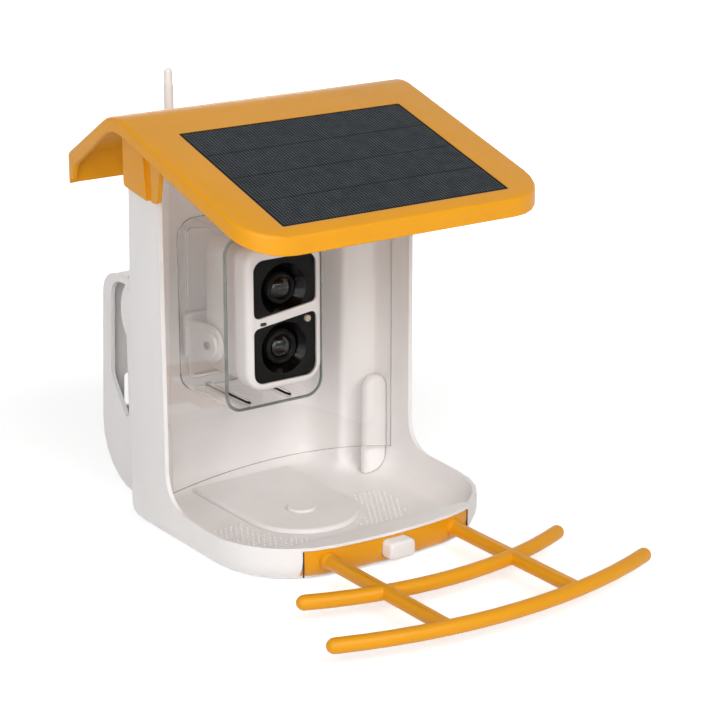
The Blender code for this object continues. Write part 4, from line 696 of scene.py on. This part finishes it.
def drain_points():
    """Centres of the drain dots, in staggered rows to both sides of the platform's nose."""
    pitch = sizes().dot_pitch
    row = pitch * math.sin(math.radians(ROW_TURN))
    centre_y = middle_of("floor_cap").y
    rows = int((DRAIN_REAR_Y - DRAIN_FRONT_Y) / row) + 1
    columns = int(DRAIN_OUTER / pitch) + 1
    points = []
    for j in range(rows):
        y = DRAIN_FRONT_Y + row * j
        for k in range(-columns, columns + 1):
            x = (k + (0.5 if j % 2 else 0.0)) * pitch
            reach = math.hypot(x, y - centre_y)
            if DRAIN_INNER < reach < DRAIN_OUTER and abs(x) > DRAIN_MIDDLE:
                points.append((x, y, TRAY_FLOOR))
    return points


def cut_at(label, mesh, points, material, values, cutter):
    """The mesh with the cutter's shape taken out of it at each point.

    The values are the cutter's named sizes, and cutter(tree) adds its nodes to the tree and
    returns its geometry.
    """
    tree = Tree(label)
    for name, value in values.items():
        tree.size(name, value)
    tree.size("Moulding", None, "NodeSocketObject")
    tree.size("Material", material, "NodeSocketMaterial")
    blank = bpy.data.objects.new(label + "_moulding", mesh)
    bpy.context.scene.collection.objects.link(blank)
    tree.values["Moulding"] = blank
    tools = tree.add("GeometryNodeRealizeInstances", {"Geometry": tree.at_points(cutter(tree))})
    body = tree.add("GeometryNodeObjectInfo", {"Object": tree.source("Moulding")})
    holed = tree.add("GeometryNodeMeshBoolean",
                     {"Mesh 1": body.outputs["Geometry"], "Mesh 2": tools.outputs[0]},
                     operation="DIFFERENCE")
    tree.close(holed.outputs["Mesh"])
    done = tree.run(point_mesh(label + "_points", points))
    bpy.data.objects.remove(blank)
    if not done.polygons:
        raise RuntimeError("nothing was left of the moulding after " + label)
    return done


def bowl_shape(tree):
    """The ball whose front leaves a shallow bowl."""
    return tree.add("GeometryNodeMeshUVSphere",
                    {"Segments": BOWL_STEPS, "Rings": BOWL_STEPS,
                     "Radius": tree.source("Bowl Radius")}).outputs["Mesh"]


def cross_shape(tree):
    """The cross of a screwdriver's tip."""
    depth, length, width = [tree.source(name) for name in CROSS_SIZES]
    bars = [tree.vector(depth, length, width), tree.vector(depth, width, length)]
    shapes = [tree.add("GeometryNodeMeshCube", {"Size": bar}).outputs["Mesh"] for bar in bars]
    both = tree.add("GeometryNodeMeshBoolean", operation="UNION")
    for shape in shapes:
        link(tree.group, shape, both.inputs["Mesh 2"])
    return both.outputs["Mesh"]


class FEEDER_OT_housing(Operator):
    """Finish the housing and set the tray's drain dots"""

    bl_idname = "feeder.housing"
    bl_label = "Housing"

    def execute(self, context):
        finish_node("housing", white_plastic())
        tree = Tree("drain_dots")
        tree.size("Dot Radius", sizes().dot)
        tree.size("Dot Height", DOT_HEIGHT * 2.0)
        tree.size("Material", dot_painted_light_plastic(), "NodeSocketMaterial")
        dot = tree.add("GeometryNodeMeshCylinder",
                       {"Vertices": DOT_SIDES, "Radius": tree.source("Dot Radius"),
                        "Depth": tree.source("Dot Height")})
        tree.close(tree.at_points(dot.outputs["Mesh"]))
        mesh = tree.run(point_mesh("drain_spots", drain_points()))
        mesh = rounded_mesh(mesh, DOT_HEIGHT / 2.0, segments=1)
        add_to("housing", "drain_dots", mesh, dot_painted_light_plastic())
        return {"FINISHED"}


class FEEDER_OT_seed_parts(Operator):
    """Finish the seed platform, its cap and the seed guides"""

    bl_idname = "feeder.seed_parts"
    bl_label = "Seed Parts"

    def execute(self, context):
        finish_nodes(("seed_platform", "floor_cap"), white_plastic())
        finish_nodes(("seed_guide_left", "seed_guide_right"), soft_white_plastic())
        return {"FINISHED"}


def mark_faces(mesh, test):
    """Gives the second material to the faces that pass the test."""
    for face in mesh.polygons:
        if test(face):
            face.material_index = 1


class FEEDER_OT_clear_parts(Operator):
    """Finish the clear hopper panel and the clear camera bay"""

    bl_idname = "feeder.clear_parts"
    bl_label = "Clear Parts"

    def execute(self, context):
        bay = finish_node("camera_bay", clear_plastic())
        panel = finish_node("hopper_panel", clear_plastic())
        for piece in (bay, panel):
            piece.data.materials.append(edge_shade_plastic())
        # The cut edges of the panel and the rim of the bay take the painted edge shade.
        mark_faces(panel.data, lambda face: abs(face.normal.y) < EDGE_NORMAL_Y)
        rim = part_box("camera_bay")[0].y
        mark_faces(bay.data, lambda face: abs(face.center.y - rim) < MERGE)
        return {"FINISHED"}


class FEEDER_OT_roof(Operator):
    """Finish the roof shell and its two cheeks"""

    bl_idname = "feeder.roof"
    bl_label = "Roof"

    def execute(self, context):
        finish_node("roof", orange_plastic(), ROOF_CREASE)
        finish_nodes(("roof_cheek_left", "roof_cheek_right"), orange_plastic())
        return {"FINISHED"}


def panel_plane():
    """A matrix at the middle of the solar panel's top face, and the face's two sides."""
    mesh = NODES["solar_panel"].data
    top = max(mesh.polygons, key=lambda p: p.area * p.normal.z)
    normal = top.normal.copy().normalized()
    level = max(normal.dot(v.co) for v in mesh.vertices)
    low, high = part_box("solar_panel")
    middle = (low + high) / 2.0
    middle += normal * (level - normal.dot(middle))
    along = Vector((1.0, 0.0, 0.0))
    up = normal.cross(along).normalized()
    turn = Matrix((along, up, normal)).transposed().to_4x4()
    length = (high.y - low.y - abs(normal.y) * PANEL_DEPTH) / normal.z
    return Matrix.Translation(middle) @ turn, high.x - low.x, length


def bar_row(tree, along, pitch, start, count, width, height, upright):
    """A row of like bars, lying along X, or along Y where upright."""
    if upright:
        spots = (start, 0.0, 0.0), (pitch, 0.0, 0.0), (width, along, height)
    else:
        spots = (0.0, start, 0.0), (0.0, pitch, 0.0), (along, width, height)
    first, step, block = [tree.vector(*values) for values in spots]
    row = tree.add("GeometryNodeMeshLine",
                   {"Count": count, "Start Location": first, "Offset": step})
    bar = tree.add("GeometryNodeMeshCube", {"Size": block})
    return tree.at_points(bar.outputs["Mesh"], row.outputs[0])


def row_start(tree, count, pitch):
    """Where a row of that many steps starts, to lie about its middle."""
    steps = tree.math("SUBTRACT", count, 1.0)
    return tree.math("MULTIPLY", tree.math("MULTIPLY", steps, pitch), -0.5)


def rib_grid(width, length):
    """The panel's fine woven ribs, about its middle."""
    tree = Tree("solar_ribs")
    tree.size("Width", width)
    tree.size("Length", length)
    tree.size("Pitch", sizes().rib_pitch)
    tree.size("Rib Width", sizes().rib)
    tree.size("Cross Rib Width", sizes().cross_rib)
    tree.size("Rib Height", RIB_HEIGHT)
    tree.size("Material", solar_ribs(), "NodeSocketMaterial")
    joined = tree.add("GeometryNodeJoinGeometry")
    pitch = tree.source("Pitch")
    for along, across, rib, upright in (("Width", "Length", "Cross Rib Width", False),
                                        ("Length", "Width", "Rib Width", True)):
        count = tree.math("FLOOR", tree.math("DIVIDE", tree.source(across), pitch))
        row = bar_row(tree, tree.source(along), pitch, row_start(tree, count, pitch), count,
                      tree.source(rib), tree.source("Rib Height"), upright)
        link(tree.group, row, joined.inputs[0])
    tree.close(joined.outputs[0])
    return tree.run(point_mesh("rib_seed", [(0.0, 0.0, 0.0)]))


def string_gaps(width, length):
    """The dark lines between the panel's strings of cells, about its middle."""
    tree = Tree("solar_strings")
    tree.size("Width", width)
    tree.size("String Pitch", length / sizes().strings)
    tree.size("Gaps", sizes().strings - 1, "NodeSocketInt")
    tree.size("Gap Width", STRING_GAP)
    tree.size("Gap Height", RIB_HEIGHT * STRING_PROUD)
    tree.size("Material", solar_cells(), "NodeSocketMaterial")
    gaps, pitch = tree.source("Gaps"), tree.source("String Pitch")
    tree.close(bar_row(tree, tree.source("Width"), pitch, row_start(tree, gaps, pitch), gaps,
                       tree.source("Gap Width"), tree.source("Gap Height"), False))
    return tree.run(point_mesh("string_seed", [(0.0, 0.0, 0.0)]))


class FEEDER_OT_solar(Operator):
    """Lay the ribs and strings on the solar panel and finish its box"""

    bl_idname = "feeder.solar"
    bl_label = "Solar Panel"

    def execute(self, context):
        finish_node("solar_panel", solar_cells())
        finish_node("junction_box", black_plastic())
        place, width, length = panel_plane()
        width, length = width - GRID_MARGIN * 2.0, length - GRID_MARGIN * 2.0
        marks = (("solar_rib_grid", rib_grid(width, length), solar_ribs()),
                 ("solar_string_gaps", string_gaps(width, length), solar_cells()))
        for name, mesh, material in marks:
            mesh.transform(place)
            place_piece(name, mesh, "roof", (), material)
        return {"FINISHED"}


class FEEDER_OT_camera_shells(Operator):
    """Finish the camera's two white shells, microphone hole and light sensor"""

    bl_idname = "feeder.camera_shells"
    bl_label = "Camera Shells"

    def execute(self, context):
        finish_nodes(("camera_front_shell", "camera_rear_shell"), white_plastic(), SHELL_CREASE)
        finish_node("mic_grommet", rubber_and_gap_shade())
        finish_node("light_sensor", amber_plastic())
        return {"FINISHED"}


def ball_radius(radius, rise):
    """Radius of the ball whose cap has that radius and rise."""
    return (radius ** 2 + rise ** 2) / (2.0 * rise)


def dome_mesh(name, tip, radius, rise):
    """The cap of a ball, for a lens that looks along -Y, with its tip at the given point."""
    made = bmesh.new()
    ball = ball_radius(radius, rise)
    place = Matrix.Translation(tip + Vector((0.0, ball, 0.0)))
    place = place @ Matrix.Rotation(math.radians(90.0), 4, "X")
    bmesh.ops.create_uvsphere(made, u_segments=DOME_STEPS, v_segments=DOME_STEPS, radius=ball,
                              matrix=place)
    rear = [v for v in made.verts if v.co.y > tip.y + rise + MERGE]
    bmesh.ops.delete(made, geom=rear, context="VERTS")
    mesh = bpy.data.meshes.new(name)
    made.to_mesh(mesh)
    made.free()
    smooth(mesh)
    return mesh


class FEEDER_OT_camera_optics(Operator):
    """Finish the camera's windows, lens barrels and lenses"""

    bl_idname = "feeder.camera_optics"
    bl_label = "Camera Optics"

    def execute(self, context):
        finish_nodes(("window_upper", "window_lower"), window_glass())
        finish_nodes(("lens_barrel_upper", "lens_barrel_lower"), black_plastic())
        lenses = ("lens_upper", "lens_lower")
        middles = [middle_of(node) for node in lenses]
        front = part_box("optics_block")[0].y
        ball = ball_radius(BOWL_RADIUS, BOWL_DEPTH)
        mesh = cut_at("lens_bowls", merged_copy("optics_block"),
                      [(m.x, front + BOWL_DEPTH - ball, m.z) for m in middles], bowl_black(),
                      {"Bowl Radius": ball}, bowl_shape)
        smooth(mesh)
        block = stand_for("optics_block", mesh, black_plastic())
        block.data.materials.append(bowl_black())

        def in_bowl(face):
            """Whether a face of the block lies in one of the bowls."""
            near = any((face.center - m).xz.length < BOWL_RADIUS for m in middles)
            return near and front + MERGE < face.center.y < front + BOWL_DEPTH

        mark_faces(block.data, in_bowl)
        for node, middle, (radius, rise) in zip(lenses, middles, DOME_SIZES):
            tip = Vector((middle.x, front + DOME_SETBACK, middle.z))
            stand_for(node, dome_mesh(node, tip, radius, rise), lens_glass(), ending="_dome")
        return {"FINISHED"}


class FEEDER_OT_camera_insides(Operator):
    """Finish the board, cells and loudspeaker inside the camera"""

    bl_idname = "feeder.camera_insides"
    bl_label = "Camera Insides"

    def execute(self, context):
        finish_node("main_board", circuit_board())
        finish_nodes(("battery_cell_left", "battery_cell_right"), cell_wrap())
        finish_node("loudspeaker", black_plastic())
        return {"FINISHED"}


class FEEDER_OT_pivots(Operator):
    """Finish the camera's yoke, pivot discs and pivot screws"""

    bl_idname = "feeder.pivots"
    bl_label = "Camera Pivots"

    def execute(self, context):
        finish_nodes(("camera_yoke", "pivot_disc_left", "pivot_disc_right"), white_plastic())
        for node, end in (("pivot_screw_left", 0), ("pivot_screw_right", 1)):
            middle = middle_of(node)
            head = (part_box(node)[end].x, middle.y, middle.z)
            mesh = cut_at(node + "_cross", merged_copy(node), [head], steel(), CROSS_SIZES,
                          cross_shape)
            smooth(mesh)
            stand_for(node, mesh, steel())
        return {"FINISHED"}


class FEEDER_OT_rear_parts(Operator):
    """Finish the rear cap, its seal, the cradle, knobs and hinge pins"""

    bl_idname = "feeder.rear_parts"
    bl_label = "Rear Parts"

    def execute(self, context):
        finish_nodes(("rear_cap", "clamp_knob_left", "clamp_knob_right", "rear_cradle"),
                     white_plastic())
        finish_node("cap_seal", rubber_and_gap_shade())
        finish_nodes(("hinge_pin_left", "hinge_pin_right"), steel())
        return {"FINISHED"}


class FEEDER_OT_antenna(Operator):
    """Finish the antenna with its base and elbow"""

    bl_idname = "feeder.antenna"
    bl_label = "Antenna"

    def execute(self, context):
        finish_nodes(("antenna_base", "antenna_elbow", "antenna_rod"), white_plastic())
        finish_node("antenna_pin", steel())
        return {"FINISHED"}


class FEEDER_OT_perch(Operator):
    """Finish the perch, its release button and the button's spring"""

    bl_idname = "feeder.perch"
    bl_label = "Perch"

    def execute(self, context):
        finish_node("perch", orange_plastic())
        self.root_collars()
        self.insert_gaps()
        finish_node("release_button", soft_white_plastic())
        spring = finish_node("button_spring", steel())
        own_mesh(spring)
        return {"FINISHED"}

    @staticmethod
    def front_of(x, z):
        """Where the insert's front face lies at an X and a Z."""
        solid = NODES["perch"].data
        faces = BVHTree.FromPolygons([v.co for v in solid.vertices],
                                     [p.vertices for p in solid.polygons])
        hit = faces.ray_cast(Vector((x, RAY_START_Y, z)), Vector((0.0, 1.0, 0.0)))[0]
        if hit is None:
            raise RuntimeError("no insert face was found")
        return hit.y

    def insert_gaps(self):
        """Thin dark boxes of painted shade in the gaps between the insert's two ends and the
        housing.
        """
        low, high = INSERT_LOW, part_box("perch")[1].z
        made = bmesh.new()
        for side in (-1.0, 1.0):
            x = side * INSERT_HALF
            front = self.front_of(x - side * GAP_WIDTH * 2.0, CLEAR_OF_RODS) - GAP_PROUD
            size = Matrix.Diagonal((GAP_WIDTH, GAP_WIDTH * 2.0, high - low - GAP_WIDTH, 1.0))
            place = Matrix.Translation((x, front + GAP_WIDTH, (low + high) / 2.0))
            bmesh.ops.create_cube(made, size=1.0, matrix=place @ size)
        mesh = bpy.data.meshes.new("insert_gaps")
        made.to_mesh(mesh)
        made.free()
        place_piece("insert_gaps", mesh, body_of_node("perch"), (),
                    rubber_and_gap_shade())

    def root_collars(self):
        """The swollen roots where the perch's two rods leave the insert."""
        points = []
        for side in (-1.0, 1.0):
            front = self.front_of(side * ROD_X, CLEAR_OF_RODS)
            points.append((side * ROD_X, front - COLLAR_LENGTH / 2.0 + COLLAR_SUNK, ROD_Z))
        tree = Tree("perch_collars")
        tree.size("Collar Radius", COLLAR_RADIUS)
        tree.size("Rod Radius", ROD_RADIUS)
        tree.size("Collar Length", COLLAR_LENGTH)
        tree.size("Material", orange_plastic(), "NodeSocketMaterial")
        cone = tree.add("GeometryNodeMeshCone",
                        {"Vertices": COLLAR_SIDES, "Radius Top": tree.source("Rod Radius"),
                         "Radius Bottom": tree.source("Collar Radius"),
                         "Depth": tree.source("Collar Length")})
        middle = tree.math("MULTIPLY", tree.source("Collar Length"), -0.5)
        centred = tree.add("GeometryNodeTransform",
                           {"Geometry": cone.outputs["Mesh"],
                            "Translation": tree.vector(0.0, 0.0, middle)})
        forward = (math.radians(90.0), 0.0, 0.0)
        tree.close(tree.at_points(centred.outputs[0], turn=forward))
        mesh = rounded_mesh(tree.run(point_mesh("collar_spots", points)), COLLAR_ROLL)
        add_to("perch", "perch_collars", mesh, orange_plastic())


def area_lamp(name, location, size, power):
    """A soft square lamp aimed at the feeder."""
    lamp = bpy.data.lights.new(name, "AREA")
    lamp.shape = "SQUARE"
    lamp.size = size
    lamp.energy = power
    item = bpy.data.objects.new(name, lamp)
    item.location = location
    aim = Vector(LAMP_TARGET) - Vector(location)
    item.rotation_euler = aim.to_track_quat("-Z", "Y").to_euler()
    bpy.context.scene.collection.objects.link(item)


class FEEDER_OT_stage(Operator):
    """Set the floor, the soft studio light, the world and the camera"""

    bl_idname = "feeder.stage"
    bl_label = "Stage"

    def execute(self, context):
        scene = context.scene
        scene.view_settings.view_transform = "Standard"
        self.set_floor(scene)
        self.set_world(scene)
        for lamp in LAMPS:
            area_lamp(*lamp)
        self.set_camera(scene)
        return {"FINISHED"}

    def set_floor(self, scene):
        """A wide level floor under the feeder."""
        corners = [(x * FLOOR_HALF, y * FLOOR_HALF, 0.0)
                   for x, y in ((-1, -1), (1, -1), (1, 1), (-1, 1))]
        mesh = bpy.data.meshes.new("studio_floor")
        mesh.from_pydata(corners, [], [(0, 1, 2, 3)])
        floor = bpy.data.objects.new("studio_floor", mesh)
        scene.collection.objects.link(floor)
        mesh.materials.append(self.floor_material())

    @staticmethod
    def set_camera(scene):
        """The camera at the photograph's viewing angle."""
        view = bpy.data.cameras.new("photo_camera")
        view.lens = LENS_MM
        view.sensor_width = SENSOR_MM
        view.sensor_fit = "HORIZONTAL"
        view.clip_start = CLIP_NEAR
        view.clip_end = CLIP_FAR
        camera = bpy.data.objects.new("photo_camera", view)
        turn = Matrix((VIEW_RIGHT, VIEW_UP, tuple(-a for a in VIEW_AHEAD))).transposed()
        camera.matrix_world = Matrix.Translation(EYE) @ turn.to_4x4()
        scene.collection.objects.link(camera)
        scene.camera = camera

    @staticmethod
    def seen_rays(tree):
        """1 for the rays that should see a white studio."""
        path = tree.nodes.new("ShaderNodeLightPath")
        total = path.outputs["Is Camera Ray"]
        for name in ("Is Glossy Ray", "Is Transmission Ray"):
            more = tree.nodes.new("ShaderNodeMath")
            more.operation = "MAXIMUM"
            link(tree, total, more.inputs[0])
            link(tree, path.outputs[name], more.inputs[1])
            total = more.outputs[0]
        return total

    @staticmethod
    def far_lift(tree):
        """How much white the floor adds where it is seen, which grows with the distance."""
        place = tree.nodes.new("ShaderNodeTexCoord")
        reach = tree.nodes.new("ShaderNodeVectorMath")
        reach.operation = "LENGTH"
        link(tree, place.outputs["Object"], reach.inputs[0])
        rise = tree.nodes.new("ShaderNodeMapRange")
        rise.interpolation_type = "SMOOTHSTEP"
        rise.inputs["From Min"].default_value = LIFT_REACH[0]
        rise.inputs["From Max"].default_value = LIFT_REACH[1]
        rise.inputs["To Min"].default_value = LIFT_WHITE[0]
        rise.inputs["To Max"].default_value = LIFT_WHITE[1]
        link(tree, reach.outputs["Value"], rise.inputs["Value"])
        return rise.outputs["Result"]

    def floor_material(self):
        """Pale floor that keeps the shadow and reads as white elsewhere."""
        material = bpy.data.materials.new("pale_floor")
        material.use_nodes = True
        tree = material.node_tree
        tree.nodes.clear()
        base = tree.nodes.new("ShaderNodeBsdfDiffuse")
        base.inputs["Color"].default_value = (FLOOR_TONE, FLOOR_TONE, FLOOR_TONE, 1.0)
        glow = tree.nodes.new("ShaderNodeEmission")
        lift = tree.nodes.new("ShaderNodeMath")
        lift.operation = "MULTIPLY"
        link(tree, self.far_lift(tree), lift.inputs[1])
        link(tree, self.seen_rays(tree), lift.inputs[0])
        link(tree, lift.outputs[0], glow.inputs["Strength"])
        both = tree.nodes.new("ShaderNodeAddShader")
        link(tree, base.outputs[0], both.inputs[0])
        link(tree, glow.outputs[0], both.inputs[1])
        output = tree.nodes.new("ShaderNodeOutputMaterial")
        link(tree, both.outputs[0], output.inputs["Surface"])
        return material

    def set_world(self, scene):
        """Even soft light all round, white wherever it is seen."""
        world = bpy.data.worlds.new("studio_world")
        scene.world = world
        world.use_nodes = True
        tree = world.node_tree
        tree.nodes.clear()
        strength = tree.nodes.new("ShaderNodeMapRange")
        strength.inputs["To Min"].default_value = WORLD_LIGHT
        strength.inputs["To Max"].default_value = WORLD_SEEN
        link(tree, self.seen_rays(tree), strength.inputs["Value"])
        back = tree.nodes.new("ShaderNodeBackground")
        back.inputs["Color"].default_value = (1.0, 1.0, 1.0, 1.0)
        link(tree, strength.outputs["Result"], back.inputs["Strength"])
        output = tree.nodes.new("ShaderNodeOutputWorld")
        link(tree, back.outputs[0], output.inputs["Surface"])


STEPS = (FEEDER_OT_housing, FEEDER_OT_seed_parts, FEEDER_OT_clear_parts, FEEDER_OT_roof,
         FEEDER_OT_solar, FEEDER_OT_camera_shells, FEEDER_OT_camera_optics,
         FEEDER_OT_camera_insides, FEEDER_OT_pivots, FEEDER_OT_rear_parts, FEEDER_OT_antenna,
         FEEDER_OT_perch, FEEDER_OT_stage)


class FEEDER_PT_sidebar(Panel):
    """Lists the feeder's steps and its sizes and colours"""

    bl_idname = "FEEDER_PT_sidebar"
    bl_label = "Bird Feeder"
    bl_space_type = "VIEW_3D"
    bl_region_type = "UI"
    bl_category = "Feeder"

    def draw(self, context):
        layout = self.layout
        for group in (context.scene.feeder_sizes, context.scene.feeder_colours):
            box = layout.box()
            for name in group.__annotations__:
                box.prop(group, name)
        for step in STEPS:
            layout.operator(step.bl_idname)


CLASSES = (FeederSizes, FeederColours, *STEPS, FEEDER_PT_sidebar)


def register():
    """Registers the classes and their settings."""
    for item in CLASSES:
        bpy.utils.register_class(item)
    bpy.types.Scene.feeder_sizes = PointerProperty(type=FeederSizes)
    bpy.types.Scene.feeder_colours = PointerProperty(type=FeederColours)


def unregister():
    """Takes the classes and their settings out again."""
    del bpy.types.Scene.feeder_colours
    del bpy.types.Scene.feeder_sizes
    for item in reversed(CLASSES):
        bpy.utils.unregister_class(item)


def main():
    """Runs every step in order."""
    register()
    for step in STEPS:
        group, name = step.bl_idname.split(".")
        getattr(getattr(bpy.ops, group), name)()


if __name__ == "__main__":
    main()
